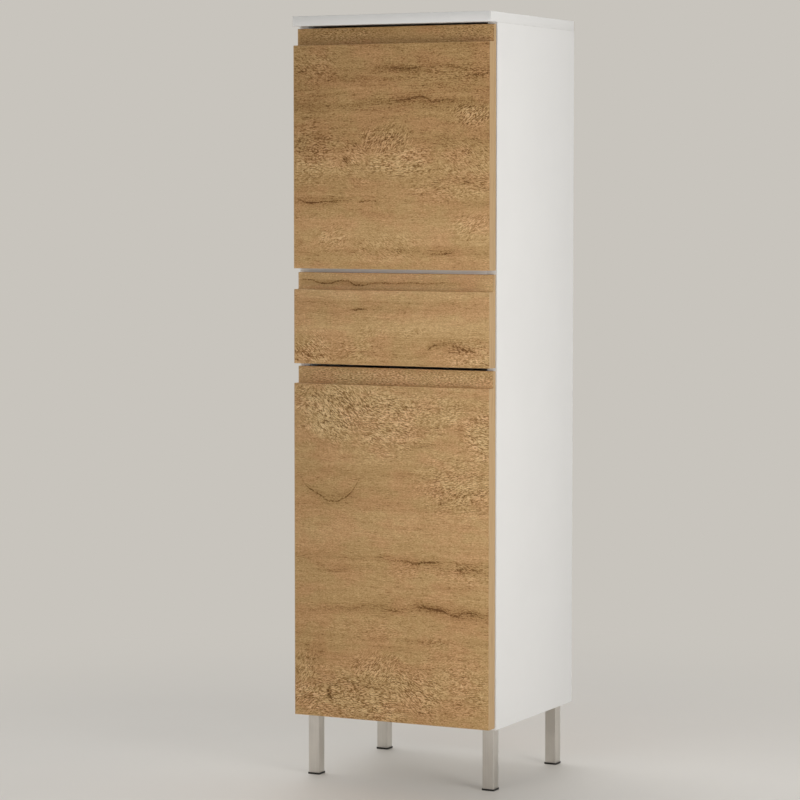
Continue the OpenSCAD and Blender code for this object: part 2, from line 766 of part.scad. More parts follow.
// Right drawer side, grooved for the bottom, drilled for its fittings
module drawer_side() {
    difference() {
        block([box_x - drawer_t, y_front_back, z_box], [box_x, y_box1, z_box + drawer_side_h]);
        block([box_x - drawer_t - 1, y_front_back - 1, z_box + drawer_bottom_up - fit],
              [box_x - drawer_t + 5, y_box1 + 1, z_box + drawer_bottom_up + drawer_bottom_t + fit]);
        bar_x([box_x - drawer_t - 1, y_front_back + drawer_cam_reach, drawer_cam_z], drawer_cam_r + fit,
              drawer_cam_h + 1 + fit);
        bar_y([box_x - drawer_t / 2, y_front_back - 1, drawer_cam_z], 2.7, drawer_cam_reach + 1);
        for (z = drawer_dowel_z)
            bar_y([box_x - drawer_t / 2, y_front_back - 1, z], drawer_dowel_r + fit, drawer_dowel_len - 9 + fit);
        for (z = drawer_dowel_z)
            bar_x([box_x - drawer_t - 1, y_box1 - drawer_t / 2, z], drawer_dowel_r + fit, 9 + fit);
        for (y = drawer_screw_y) bar_z([drawer_screw_x, y, z_box - 1], 1.5 + fit, 9.5);
    }
}
drawer_screw_y = [y_run0 + 40, y_run0 + runner_len - 50];
drawer_screw_x = box_x - 4;

module drawer_right_side() {
    color(white) drawer_side();
}
module drawer_left_side() {
    color(white) mirror([1, 0, 0]) drawer_side();
}

module drawer_back() {
    color(white) difference() {
        block([-box_x + drawer_t, y_box1 - drawer_t, z_box + drawer_bottom_up + drawer_bottom_t + fit],
              [box_x - drawer_t, y_box1, z_box + drawer_side_h]);
        both() for (z = drawer_dowel_z)
            bar_x([box_x - drawer_t - drawer_dowel_len + 8, y_box1 - drawer_t / 2, z], drawer_dowel_r + fit,
                  drawer_dowel_len);
    }
}

module drawer_bottom() {
    color(white) block([-box_x + drawer_t - 4.5, y_front_back + fit, z_box + drawer_bottom_up],
                       [box_x - drawer_t + 4.5, y_box1 - fit, z_box + drawer_bottom_up + drawer_bottom_t]);
}

module drawer_cam_locks() {
    color(steel) both() translate([box_x - drawer_t, y_front_back + drawer_cam_reach, drawer_cam_z])
        rotate([0, 90, 0]) difference() {
            cylinder(r = drawer_cam_r, h = drawer_cam_h);
            translate([-4, -0.7, -1]) cube([8, 1.4, 2.5]);
            translate([-0.7, -4, -1]) cube([1.4, 8, 2.5]);
            translate([0, 0, drawer_t / 2]) rotate([90, 0, 0]) cylinder(r = 2.7, h = drawer_cam_r + 1);
        }
}

module drawer_cam_bolts() {
    color(steel) both() translate([box_x - drawer_t / 2, y_front_back, drawer_cam_z]) rotate([-90, 0, 0]) {
        translate([0, 0, -bolt_screw_len]) cylinder(r = bolt_screw_d / 2, h = bolt_screw_len);
        cylinder(r = 2.6, h = 3);
        cylinder(r = 1.9, h = drawer_cam_reach - 4);
        translate([0, 0, drawer_cam_reach - 4.5]) cylinder(r = 2.4, h = 3.5);
    }
}

module drawer_dowels() {
    color(beech) both() for (z = drawer_dowel_z) {
        translate([box_x - drawer_t / 2, y_front_back - 10, z]) rotate([-90, 0, 0])
            dowel(drawer_dowel_r, drawer_dowel_len);
        translate([box_x - drawer_t - drawer_dowel_len + 8 + fit, y_box1 - drawer_t / 2, z]) rotate([0, 90, 0])
            dowel(drawer_dowel_r, drawer_dowel_len - fit);
    }
}

// Right cabinet runner: a channel on the side panel, cut back at its front for the roller
module cabinet_runner() {
    y1 = y_run0 + runner_len;
    open_to = y_front_axle + roller_r + 2;
    difference() {
        union() {
            block([x_in - runner_t, y_run0, z_box], [x_in, y1, z_box + channel_h]);
            block([x_in - flange_w, open_to, z_box], [x_in, y1, z_box + runner_t]);
            block([x_in - flange_w, open_to, z_box + channel_h - runner_t], [x_in, y1, z_box + channel_h]);
            block([x_in - flange_w, y1 - runner_t, z_box], [x_in, y1, z_box + channel_h]);
        }
        for (y = run_screws) bar_x([x_in - runner_t - 1, y, z_box + channel_h / 2], 1.5 + fit, runner_t + 2);
        bar_x([x_in - runner_t - 1, y_front_axle, front_axle_z], axle_d / 2 + fit, runner_t + 2);
    }
}
module cabinet_runner_right() {
    color(white) cabinet_runner();
}
module cabinet_runner_left() {
    color(white) mirror([1, 0, 0]) cabinet_runner();
}

module cabinet_runner_screws() {
    color(steel) both() for (y = run_screws) {
        translate([x_in - runner_t - 0.7, y, z_box + channel_h / 2]) rotate([0, 90, 0])
            screw(1.5, runner_t + 9.5, 3.2, 0.7);
    }
}

// Right drawer runner: a web on the drawer side, a foot under it and a rail that rides on the roller
module drawer_runner() {
    y0 = y_front_back + 4;
    y1 = y_run0 + runner_len - 3;
    difference() {
        union() {
            block([box_x, y0, z_box - runner_t], [box_x + runner_t, y1, rail_under + runner_t]);
            block([box_x - 10, y0, z_box - runner_t], [box_x + runner_t, y1, z_box]);
            block([box_x, y0, rail_under], [box_x + runner_t + 8, y1, rail_under + runner_t]);
        }
        for (y = drawer_screw_y) bar_z([drawer_screw_x, y, z_box - runner_t - 1], 1.5 + fit, runner_t + 2);
        bar_x([box_x - 1, y_rear_axle, rear_axle_z], axle_d / 2 + fit, runner_t + 2);
    }
}
module drawer_runner_right() {
    color(white) drawer_runner();
}
module drawer_runner_left() {
    color(white) mirror([1, 0, 0]) drawer_runner();
}

module drawer_runner_screws() {
    color(steel) both() for (y = drawer_screw_y)
        screw_up([drawer_screw_x, y, z_box - runner_t], 1.5, runner_t + 8, 3, 1.2);
}

// Roller with a shallow groove round its tread, drawn along X from its outer face
module roller() {
    rotate([0, 90, 0]) rotate_extrude() difference() {
        translate([axle_d / 2 + fit, 0]) square([roller_r - axle_d / 2 - fit, roller_w]);
        translate([roller_r, roller_w / 2]) circle(r = 0.8);
        translate([axle_d / 2 + 1.2, -0.1]) square([roller_r - axle_d / 2 - 2.4, 1.3]);
    }
}

module front_rollers() {
    color(nylon) both() translate([x_in - runner_t - 0.6 - roller_w, y_front_axle, front_axle_z]) roller();
}
module rear_rollers() {
    color(nylon) both() translate([box_x + runner_t + 0.6, y_rear_axle, rear_axle_z]) roller();
}

// Rivet axles: a shaft through the sheet with a thin head over the roller
module front_roller_axles() {
    color(steel) both() {
        bar_x([x_in - runner_t - 1 - roller_w, y_front_axle, front_axle_z], axle_d / 2, roller_w + 1 + runner_t);
        bar_x([x_in - runner_t - 1.2 - roller_w, y_front_axle, front_axle_z], axle_d / 2 + 0.8, 0.4);
    }
}
module rear_roller_axles() {
    color(steel) both() {
        bar_x([box_x, y_rear_axle, rear_axle_z], axle_d / 2, roller_w + 1 + runner_t);
        bar_x([box_x + runner_t + 0.8 + roller_w, y_rear_axle, rear_axle_z], axle_d / 2 + 0.8, 0.4);
    }
}

// Wall brackets: steel angles in the top back corner, one leg under the top, one on the back panel
bracket_t = 1.5;
bracket_w = 20;
wall_z = z_top - board_t - 22;
module wall_brackets() {
    color(steel) both() difference() {
        union() {
            block([wall_spacing / 2 - bracket_w / 2, y_panel - 26, z_top - board_t - bracket_t],
                  [wall_spacing / 2 + bracket_w / 2, y_panel, z_top - board_t]);
            block([wall_spacing / 2 - bracket_w / 2, y_panel - bracket_t, z_top - board_t - 34],
                  [wall_spacing / 2 + bracket_w / 2, y_panel, z_top - board_t]);
        }
        bar_z([wall_spacing / 2, y_panel - 14, z_top - board_t - bracket_t - 1], 1.5 + fit, bracket_t + 2);
        bar_y([wall_spacing / 2, y_panel - bracket_t - 1, wall_z], wall_hole_d / 2, bracket_t + 2);
    }
}

module wall_bracket_screws() {
    color(steel) both()
        screw_up([wall_spacing / 2, y_panel - 14, z_top - board_t - bracket_t], 1.5, bracket_t + 9.5, 3, 1.4);
}

top_panel();
bottom_panel();
left_side_panel();
right_side_panel();
fixed_shelf();
back_panel();
upper_shelf();
lower_shelf();
shelf_pins();
panel_dowels();
cam_locks();
cam_bolts();
leg_front_left();
leg_front_right();
leg_back_left();
leg_back_right();
leg_screws();
foot_front_left();
foot_front_right();
foot_back_left();
foot_back_right();
hinge_plates();
hinge_plate_screws();
hinge_arms();
hinge_arm_pins();
hinge_arm_screws();
cabinet_runner_left();
cabinet_runner_right();
cabinet_runner_screws();
front_roller_axles();
front_rollers();
wall_brackets();
wall_bracket_screws();
upper_door();
upper_hinge_cups();
upper_cup_pins();
upper_cup_screws();
upper_door_bumpers();
upper_hinge_links();
lower_door();
lower_hinge_cups();
lower_cup_pins();
lower_cup_screws();
lower_door_bumpers();
lower_hinge_links();
drawer_front();
drawer_left_side();
drawer_right_side();
drawer_back();
drawer_bottom();
drawer_runner_left();
drawer_runner_right();
drawer_runner_screws();
drawer_cam_locks();
drawer_cam_bolts();
drawer_dowels();
drawer_bumpers();
rear_roller_axles();
rear_rollers();
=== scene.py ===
"""Looks of a tall bathroom cabinet: oak fronts, white boards, satin legs and all its fittings.

Settings and scene are in metres. The tables of the oak decor and all shader maths are in
millimetres of the part, with x to the right, y to the back and z up.
"""

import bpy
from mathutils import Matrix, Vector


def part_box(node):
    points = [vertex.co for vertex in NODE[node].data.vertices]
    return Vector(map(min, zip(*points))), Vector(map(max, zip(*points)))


bl_info = {
    "name": "Tall bathroom cabinet",
    "version": (1, 0, 0),
    "blender": (4, 5, 0),
    "location": "View3D > Sidebar > Cabinet",
    "description": "Dresses a tall bathroom cabinet in its materials and sets up a studio",
    "category": "Object",
}

import math
from functools import reduce

import bmesh
import bpy
from bpy.props import FloatProperty, FloatVectorProperty, PointerProperty
from mathutils import Vector

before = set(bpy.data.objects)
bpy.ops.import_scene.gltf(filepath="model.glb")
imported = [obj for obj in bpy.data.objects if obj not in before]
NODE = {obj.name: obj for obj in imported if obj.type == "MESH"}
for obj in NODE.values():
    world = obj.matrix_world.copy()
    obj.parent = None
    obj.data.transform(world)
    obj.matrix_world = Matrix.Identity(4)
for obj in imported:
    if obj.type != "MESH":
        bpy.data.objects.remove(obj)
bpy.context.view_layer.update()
MM = 0.001
PER_METRE = 1000.0


def colour(red, green, blue):
    """A colour picked from the screen, as the linear values that shaders use."""

    def part(value):
        c = value / 255
        return c / 12.92 if c <= 0.04045 else ((c + 0.055) / 1.055) ** 2.4

    return part(red), part(green), part(blue)


# ---------------------------------------------------------------------------------------------
# Shader maths


class Wire:
    """One output of a shader node, which can be used in sums and products like a number."""

    def __init__(self, finish, socket):
        self.finish = finish
        self.socket = socket

    @property
    def is_vector(self):
        return self.socket.type in ("VECTOR", "RGBA")

    def __add__(self, other):
        return self.finish.maths("ADD", self, other)

    def __radd__(self, other):
        return self.finish.maths("ADD", other, self)

    def __sub__(self, other):
        return self.finish.maths("SUBTRACT", self, other)

    def __rsub__(self, other):
        return self.finish.maths("SUBTRACT", other, self)

    def __mul__(self, other):
        return self.finish.maths("MULTIPLY", self, other)

    def __rmul__(self, other):
        return self.finish.maths("MULTIPLY", other, self)

    def __truediv__(self, other):
        return self.finish.maths("DIVIDE", self, other)

    def __rtruediv__(self, other):
        return self.finish.maths("DIVIDE", other, self)

    def __abs__(self):
        return self.finish.maths("ABSOLUTE", self)


class Finish:
    """A material under construction, or the world: its node tree, and short ways to add to it."""

    def __init__(self, name, world=False):
        self.block = (bpy.data.worlds if world else bpy.data.materials).new(name)
        self.block.use_nodes = True
        self.tree = self.block.node_tree
        self.tree.nodes.clear()
        self.surface = self.node("Background" if world else "BsdfPrincipled")
        self.output = self.node("OutputWorld" if world else "OutputMaterial")
        self.glowing = "Background" if world else "Emission"
        self.tree.links.new(self.surface.outputs[0], self.output.inputs["Surface"])

    def node(self, kind, inputs=None, stops=(), between="LINEAR", points=(), **settings):
        """A node of that kind: its settings first, then the values or wires of its sockets.

        The stops, and the way of going between them, are those of a colour ramp, and the points
        are those of a curve.
        """
        node = self.tree.nodes.new("ShaderNode" + kind)
        for name, value in settings.items():
            setattr(node, name, value)
        if stops:
            ramp = node.color_ramp
            ramp.interpolation = between
            while len(ramp.elements) < len(stops):
                ramp.elements.new(0.5)
            for element, (place, tint) in zip(ramp.elements, stops):
                element.position = place
                element.color = (*tint, 1.0)
        if points:
            curve = node.mapping.curves[0]
            while len(curve.points) < len(points):
                curve.points.new(0.5, 0.5)
            for point, place in zip(curve.points, points):
                point.location = place
                point.handle_type = "AUTO"
            node.mapping.update()
        for key, value in (inputs or {}).items():
            if isinstance(value, Wire):
                self.tree.links.new(value.socket, node.inputs[key])
            else:
                node.inputs[key].default_value = value
        return node

    def add(self, kind, inputs=None, out=0, **settings):
        """One output of a new node, as a wire."""
        return Wire(self, self.node(kind, inputs, **settings).outputs[out])

    def maths(self, operation, *values):
        """A Math node, or a Vector Math node if one of the values is a vector."""
        if any(isinstance(v, tuple) or (isinstance(v, Wire) and v.is_vector) for v in values):
            values = [v if isinstance(v, (Wire, tuple)) else (v, v, v) for v in values]
            return self.add("VectorMath", dict(enumerate(values)), operation=operation)
        return self.add("Math", dict(enumerate(values)), operation=operation)

    def least(self, a, b):
        """The smaller of two values."""
        return self.maths("MINIMUM", a, b)

    def most(self, a, b):
        """The larger of two values."""
        return self.maths("MAXIMUM", a, b)

    def length(self, vector):
        """The length of a vector."""
        return self.add("VectorMath", {0: vector}, out="Value", operation="LENGTH")

    def step(self, value, start, end, low=0.0, high=1.0):
        """Goes smoothly from low to high while the value goes from start to end."""
        inputs = {"Value": value, "From Min": start, "From Max": end, "To Min": low, "To Max": high}
        return self.add("MapRange", inputs, interpolation_type="SMOOTHSTEP")

    def fade(self, value, start, end, high=1.0):
        """Goes smoothly from high to 0 while the value goes from start to end."""
        return self.step(value, start, end, high, 0.0)

    def blend(self, a, b, share, how="MIX"):
        """Colour a, with that share of colour b laid over it."""
        a, b = (v if isinstance(v, Wire) else (*v, 1.0) for v in (a, b))
        return self.add("Mix", {0: share, 6: a, 7: b}, out=2, data_type="RGBA", blend_type=how)

    def ramp(self, value, stops, between="LINEAR"):
        """The colour that the stops give for a value."""
        return self.add("ValToRGB", {0: value}, stops=stops, between=between)

    def noise(self, place, fineness, shift=None, detail=3.0, rough=0.55, twist=0.0):
        """Soft random values round 0.5, with that many spots per millimetre along each axis."""
        place = place * fineness
        if shift:
            place = place + shift
        inputs = {"Vector": place, "Scale": 1.0, "Detail": detail, "Roughness": rough}
        return self.add("TexNoise", {**inputs, "Distortion": twist})

    def wave(self, place, fineness, **settings):
        """The same random values, moved so that they lie round 0."""
        return self.noise(place, fineness, **settings) - 0.5

    def here(self):
        """The place on the object at rest, in millimetres: the same frame as the part."""
        return self.add("TexCoord", out="Object") * PER_METRE

    def split(self, vector):
        """The three parts of a vector or a colour."""
        return [Wire(self, part) for part in self.node("SeparateXYZ", {0: vector}).outputs]

    def join(self, x, y, z):
        """A vector from its three parts."""
        return self.add("CombineXYZ", {0: x, 1: y, 2: z})

    def turn(self, place, degrees):
        """The place turned by that many degrees in the plane of the fronts."""
        if not degrees:
            return place
        inputs = {"Vector": place, "Angle": math.radians(degrees)}
        return self.add("VectorRotate", inputs, rotation_type="Y_AXIS")

    def bump(self, height, depth, strength=0.5):
        """Relief of that depth in millimetres where the height goes from 0 to 1."""
        inputs = {"Strength": strength, "Distance": depth * MM, "Height": height}
        return self.add("Bump", inputs, out="Normal")

    def seen(self):
        """1 for what the camera sees, straight on, in a mirror or through glass."""
        rays = self.node("LightPath").outputs
        kinds = ("Is Camera Ray", "Is Glossy Ray", "Is Transmission Ray")
        return reduce(self.most, [Wire(self, rays[kind]) for kind in kinds])

    def shine(self, tint, share):
        """Lays a plain glowing colour over the surface by that share."""
        glow = self.add(self.glowing, {"Color": (*tint, 1.0), "Strength": 1.0})
        mixed = self.add("MixShader", {0: share, 1: Wire(self, self.surface.outputs[0]), 2: glow})
        self.tree.links.new(mixed.socket, self.output.inputs["Surface"])

    def set(self, **sockets):
        """Sets or links the sockets of the surface shader, by name with _ for a space."""
        for key, value in sockets.items():
            socket = self.surface.inputs[key.replace("_", " ")]
            if isinstance(value, Wire):
                self.tree.links.new(value.socket, socket)
            elif isinstance(value, tuple):
                socket.default_value = (*value, 1.0)
            else:
                socket.default_value = value
        return self.block


# ---------------------------------------------------------------------------------------------
# Boards in general

# Colours of pressed wood chips, from the darkest to the palest: (tone, colour)
CHIP_TONES = [
    (0.10, colour(120, 88, 56)), (0.45, colour(170, 136, 96)), (0.90, colour(205, 178, 138)),
]
WEAR_REACH = 1.0  # how far the rubbed rim of an edge reaches, in millimetres
WEAR_RAGGED = 4.0  # how ragged that rim is, in millimetres


def box_mm(node):
    """Lowest and highest corner of a CAD node at rest, in millimetres."""
    low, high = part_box(node)
    return [c * PER_METRE for c in low], [c * PER_METRE for c in high]


def depths(f, here, node):
    """How far inside a board's own box a point lies along each axis: 0 on the outer faces."""
    low, high = box_mm(node)
    centre = tuple((a + b) / 2 for a, b in zip(low, high))
    half = tuple((b - a) / 2 for a, b in zip(low, high))
    return f.split(half - abs(here - centre))


def wear(f, here, depth):
    """Where a board's edges are handled and rubbed: 1 on an edge, 0 further in."""
    dx, dy, dz = depth
    from_edge = f.most(f.least(dx, dy), f.least(f.most(dx, dy), dz))
    patchy = f.wave(here, 0.05, detail=4.0, rough=0.7)
    return f.fade(from_edge - patchy * WEAR_RAGGED, 0.0, WEAR_REACH)


def chipboard(f, here):
    """Pressed wood chips, as a drilled hole or a raw back edge shows them."""
    inputs = {"Vector": here * (0.5, 0.5, 0.9), "Scale": 1.0, "Randomness": 1.0}
    chips = f.split(f.add("TexVoronoi", inputs, out="Color"))[0]
    dust = f.noise(here, 1.4)
    return f.ramp(chips * 0.6 + dust * 0.5, CHIP_TONES)


# ---------------------------------------------------------------------------------------------
# Oak decor of the fronts

# Cracks and dark streaks of the decor, each a path of (x, z, strength from 0 to 1)
CRACKS = {
    "upper_door": [
        [(-28, 1147.7, 0.1), (-8, 1151, 0.4), (12, 1148.3, 0.85), (32, 1147.7, 1),
         (45, 1149, 0.85), (65, 1153, 0.4), (92, 1151, 0.4), (125, 1149, 0.5), (152, 1145, 0.1)],
        [(-75, 1091.7, 0.1), (-60, 1094.3, 0.4), (-42, 1095.7, 0.5), (-18, 1096.7, 0.5),
         (5, 1097.7, 0.7), (25, 1099, 1), (42, 1101.7, 0.9), (55, 1103.3, 1), (67, 1099, 0.85),
         (80, 1095, 0.85), (98, 1098.3, 0.6), (118, 1095, 0.6), (137, 1093.3, 0.1)],
        [(-170, 1144, 0.6), (-160, 1145.5, 0.9), (-148, 1147, 0.2)],
        [(-125, 1133.3, 0.1), (-90, 1135.5, 0.45), (-60, 1134.5, 0.4), (-25, 1136.3, 0.1)],
        [(120, 1134.5, 0.1), (140, 1135.7, 0.75), (158, 1136.5, 0.7), (174, 1138.5, 0.4)],
        [(148, 1142.5, 0.2), (160, 1143, 0.7), (174, 1141.5, 0.5)],
        [(-168, 941.8, 0.9), (-155, 938.3, 0.95), (-142, 935.7, 1), (-125, 937.7, 0.8),
         (-108, 938.3, 0.75), (-90, 939.5, 0.7), (-65, 938.3, 0.5)],
        [(-60, 936.7, 0.7), (-48, 938.3, 1), (-35, 939.8, 1), (-18, 938.3, 0.4)],
        [(12, 858.3, 0.1), (42, 859, 0.4), (65, 857, 0.6), (88, 855.7, 0.95), (112, 857.7, 0.6),
         (138, 856.3, 0.1)],
        [(-167, 1035, 0.7), (-148, 1038.3, 0.5), (-135, 1039.7, 0.9), (-112, 1034, 0.2)],
    ],
    "drawer_front": [
        [(-169, 811, 0.9), (-156, 812.3, 1), (-140, 808.7, 1), (-120, 806.5, 1),
         (-105, 810, 0.95), (-90, 811.3, 1), (-78, 808, 0.9), (-63, 804, 1), (-45, 806.7, 0.9),
         (-25, 808.3, 1), (-2, 807.5, 0.85), (25, 809.3, 0.9), (58, 808, 0.8), (92, 810, 0.7),
         (150, 808, 0.3)],
        [(-168, 776.7, 0.3), (-148, 775, 0.5), (-128, 777.3, 0.5), (-98, 777, 0.1)],
        [(-80, 770, 0.2), (-65, 765.7, 0.9), (-52, 766.7, 1), (-38, 768, 0.75),
         (-24, 768.7, 0.3)],
        [(-9, 763.3, 0.4), (5, 766.5, 0.3)],
        [(57, 694, 0.2), (65, 701.7, 0.5), (72, 708.3, 1), (82, 712.7, 0.8), (92, 716, 0.6),
         (102, 718, 0.4), (111, 714, 0.4), (120, 708.5, 0.7), (130, 705.3, 0.95), (140, 704, 1),
         (150, 703, 0.2)],
        [(70, 777.5, 0.1), (85, 778.5, 0.5), (102, 778, 0.1)],
    ],
    "lower_door": [
        [(-162, 495, 0.4), (-150, 476.7, 0.8), (-138.3, 470.3, 0.9), (-125, 463.7, 0.9),
         (-115.3, 457.3, 0.9), (-106, 455.5, 0.9), (-97, 456.3, 0.9), (-86, 460.3, 0.9),
         (-76, 466.5, 0.9), (-67, 476.3, 0.9), (-58, 490, 0.7), (-48, 505, 0.3)],
        [(-8, 544, 0.1), (25, 545, 0.5), (52, 548.3, 0.6), (78, 554.3, 0.5), (112, 560, 0.1)],
        [(-125, 504, 0.1), (-105, 504.5, 0.5), (-85, 503, 0.1)],
        [(-29, 366.2, 0.3), (-22, 369.3, 0.8), (-8, 367.3, 0.65), (12, 364.7, 0.7),
         (28, 365.3, 0.8), (43, 361.3, 1), (58, 364.7, 0.9), (73, 366, 1), (88, 366.7, 0.3)],
        [(-168, 361.7, 0.4), (-148, 359.3, 0.5), (-131, 353.3, 0.6), (-118, 346.7, 0.65),
         (-108, 343.3, 0.6), (-91, 347.3, 0.5), (-66, 354, 0.2)],
        [(-132, 279, 0.1), (-102, 284, 0.5), (-75, 281.7, 0.45), (-48, 289, 0.5),
         (-25, 289, 0.55), (5, 284, 0.85), (25, 288.3, 0.6), (42, 290, 0.8), (55, 292.7, 0.9),
         (72, 290.5, 1), (88, 289.3, 0.9), (102, 284.7, 0.9), (115, 282.3, 1), (127, 287, 0.9),
         (142, 288.3, 0.9), (158, 282.7, 0.7), (174, 280.7, 0.6)],
        [(-32, 298.3, 0.1), (-2, 300.7, 0.45), (25, 302.7, 0.4), (58, 300.7, 0.1)],
        [(64, 238, 0.2), (72, 235.7, 0.6), (80, 238, 0.5), (88, 236, 0.6), (94, 238, 0.2)],
        [(-136, 629, 0.2), (-120, 622, 0.7), (-100, 621.5, 0.8), (-78, 615.5, 0.8),
         (-62, 613, 0.2)],
    ],
}

# Patches of rough, flecked figure, whose strokes are turned by an angle in degrees:
# (x, z, half width, half height, strength, angle)
ROUGH = {
    "upper_door": [
        (-10, 1034, 42, 22, 0.85, 52), (15, 1000, 66, 24, 0.85, 4), (-62, 1002, 34, 30, 0.6, -30),
        (145, 1074, 34, 17, 0.9, 40), (-140, 1012, 46, 44, 0.65, 3),
        (-135, 1156, 42, 22, 0.4, -20), (128, 1000, 50, 30, 0.55, -28),
        (142, 898, 30, 18, 0.55, 35), (110, 962, 72, 18, 0.55, -4), (-104, 878, 26, 17, 0.55, 25),
        (-8, 866, 48, 20, 0.4, -30), (-90, 1207, 60, 13, 0.6, 0), (140, 1204, 60, 12, 0.6, 0),
        (110, 1140, 70, 12, 0.3, 0),
    ],
    "drawer_front": [
        (-145, 698, 40, 26, 0.75, -35), (142, 697, 46, 22, 0.7, -6), (-31, 730, 24, 8, 0.4, 20),
        (36, 731, 26, 7, 0.35, -10), (-70, 700, 44, 18, 0.5, 15),
    ],
    "lower_door": [
        (-92, 606, 66, 46, 1.1, -38), (-10, 590, 70, 50, 0.9, -12), (70, 604, 66, 34, 0.6, 8),
        (157, 575, 30, 48, 0.8, -6), (-150, 620, 26, 26, 0.8, 24), (118, 488, 62, 44, 0.75, 10),
        (-30, 184, 44, 26, 0.85, 46), (-60, 138, 100, 44, 0.9, -3), (40, 158, 60, 40, 0.8, -24),
        (-152, 137, 32, 28, 0.9, 30), (118, 172, 62, 44, 0.6, 12), (-30, 250, 80, 16, 0.3, -8),
        (132, 350, 50, 18, 0.45, 0), (-155, 178, 20, 30, 0.7, 60), (30, 350, 48, 14, 0.3, 0),
        (-60, 656, 130, 14, 0.8, 0), (110, 658, 90, 14, 0.75, -8), (84, 236, 34, 10, 0.4, 8),
    ],
}

# Soft darker or lighter places: (x, z, half width, half height, change of tone, angle)
SHADES = {
    "upper_door": [
        (20, 1149, 90, 9, -0.1, 0), (30, 1097, 95, 9, -0.1, 0), (-150, 1098, 60, 45, -0.06, 0),
        (-125, 938, 60, 9, -0.12, 0), (-81, 1005, 5, 13, -0.32, 22), (85, 856, 60, 8, -0.07, 0),
        (160, 858, 30, 14, -0.06, 0), (-165, 875, 8, 14, -0.14, 20), (30, 935, 60, 10, 0.05, 0),
        (-140, 1016, 44, 24, -0.08, 0), (20, 1010, 60, 26, 0.05, 0), (145, 1074, 26, 14, 0.08, 0),
    ],
    "drawer_front": [
        (-95, 808, 95, 6, -0.22, 0), (50, 808, 120, 5, -0.12, 0), (115, 708, 52, 12, -0.12, 0),
        (25, 762, 4, 4, -0.24, 0), (40, 770, 90, 8, -0.04, 0), (-55, 767, 50, 6, -0.07, 0),
        (-20, 770, 8, 6, -0.1, 0),
    ],
    "lower_door": [
        (-100, 463, 62, 18, -0.07, 0), (70, 292, 44, 12, -0.16, -6),
        (130, 286, 60, 12, -0.12, -4), (-30, 287, 110, 12, -0.08, 0),
        (145, 357, 48, 15, -0.15, 0), (-140, 208, 34, 22, -0.09, 0), (-111, 142, 6, 15, -0.4, 12),
        (125, 572, 9, 34, -0.11, 0), (92, 462, 7, 9, -0.18, 0), (45, 362, 60, 9, -0.08, 0),
        (-60, 385, 10, 14, -0.08, -30), (120, 470, 60, 30, -0.04, 0),
        (118, 325, 60, 12, -0.06, 0),
    ],
}

# Tone of the decor's planks from the bottom of each front up: (height, tone just above it).
# The tones also carry painted shade: the upper door's planks grow darker towards its top.
PLANK_TONES_AND_SHADE = {
    "upper_door": [
        (826, 0.53), (866, 0.59), (910, 0.5), (953, 0.47), (975, 0.5), (1015, 0.41), (1053, 0.41),
        (1106, 0.39), (1160, 0.4), (1189, 0.4),
    ],
    "drawer_front": [
        (672, 0.54), (723, 0.63), (748, 0.62), (759, 0.59), (780, 0.64), (797, 0.72),
    ],
    "lower_door": [
        (98, 0.51), (223, 0.52), (262, 0.51), (296, 0.54), (312, 0.56), (341.7, 0.54),
        (375, 0.55), (392, 0.6), (441.7, 0.52), (482, 0.56), (516, 0.6), (563, 0.59), (644, 0.61),
    ],
}

# Colours of the decor from its darkest cracks to its palest grain: (tone, colour)
WOOD_TONES = [
    (0.00, colour(104, 68, 29)), (0.12, colour(131, 92, 47)), (0.28, colour(166, 127, 79)),
    (0.42, colour(184, 145, 96)), (0.56, colour(195, 156, 107)), (0.72, colour(208, 169, 121)),
    (0.88, colour(224, 188, 139)), (1.00, colour(240, 207, 160)),
]
STRIP_VEIN = colour(158, 120, 80)
STRIP_GLUE = colour(206, 180, 142)
RUBBED_OAK = colour(206, 178, 138)

# Where marks of the decor end, in millimetres: each pair is the span of a smooth change
DRAWN_UP_TO = (-1.2, -0.6)  # from a front's rear face
BEHIND_GRIP = (-6.7, -6.3)  # from a front's rear face, just behind the wall of the grip
BELOW_GRIP = (-2.0, -1.5)  # from the floor of the grip
CRACK_CORE = (0.2, 2.4)  # from the line of a crack
CRACK_HALO = (1.0, 14.0)  # from the line of a crack
OAK_CUT = (0.7, 1.1)  # below the decor, where a hole shows chipboard
STRIP_FULL = (0.1, 0.4)  # from the joint line of the strips, outwards
STRIP_JOINT = (0.12, 0.3)  # from that line to both sides

# Other measures of the decor, in millimetres
STRIP = 1.05  # thickness of the strips on a front's side edges
TOP_PLANK = 60.0  # height of each front's top plank
CRACK_SWAY = 3.6  # how far a crack's line wavers
FAINT_FAR = 3.3  # a crack that has faded out counts as that far away
STROKE_SWAY = 14.0  # how far the strokes of the rough figure waver
PATH_ROOM = 0.5  # room over and under a crack's path in its curve

PATCH_RAGGED = 1.5  # how ragged the rim of a rough patch is, in radii of the patch
SHADE_RAGGED = 0.4  # how ragged the rim of a soft shade is, as a share of that
PATCH_RIM = (0.45, 1.6)  # where a rough patch fades out, in radii of the patch
SHADE_RIM = (0.15, 1.15)  # where a soft shade fades out, in radii of the shade
FAINTEST = 0.02  # strength at which a rough patch begins


def follow(f, x, path):
    """Height in millimetres of a crack's path at x, and how faint it is there."""
    left, right = path[0][0], path[-1][0]
    low = min(height for _, height, _ in path) - PATH_ROOM
    high = max(height for _, height, _ in path) + PATH_ROOM
    along = f.add("MapRange", {"Value": x, "From Min": left, "From Max": right})
    shares = [(at - left) / (right - left) for at, _, _ in path]
    heights = [(height - low) / (high - low) for _, height, _ in path]
    fading = [1 - strength for _, _, strength in path]
    run = f.add("FloatCurve", {"Value": along}, points=list(zip(shares, heights)))
    faint = f.add("FloatCurve", {"Value": along}, points=list(zip(shares, fading)))
    outside = f.maths("GREATER_THAN", abs(x - (left + right) / 2), (right - left) / 2)
    return run * (high - low) + low, faint + outside


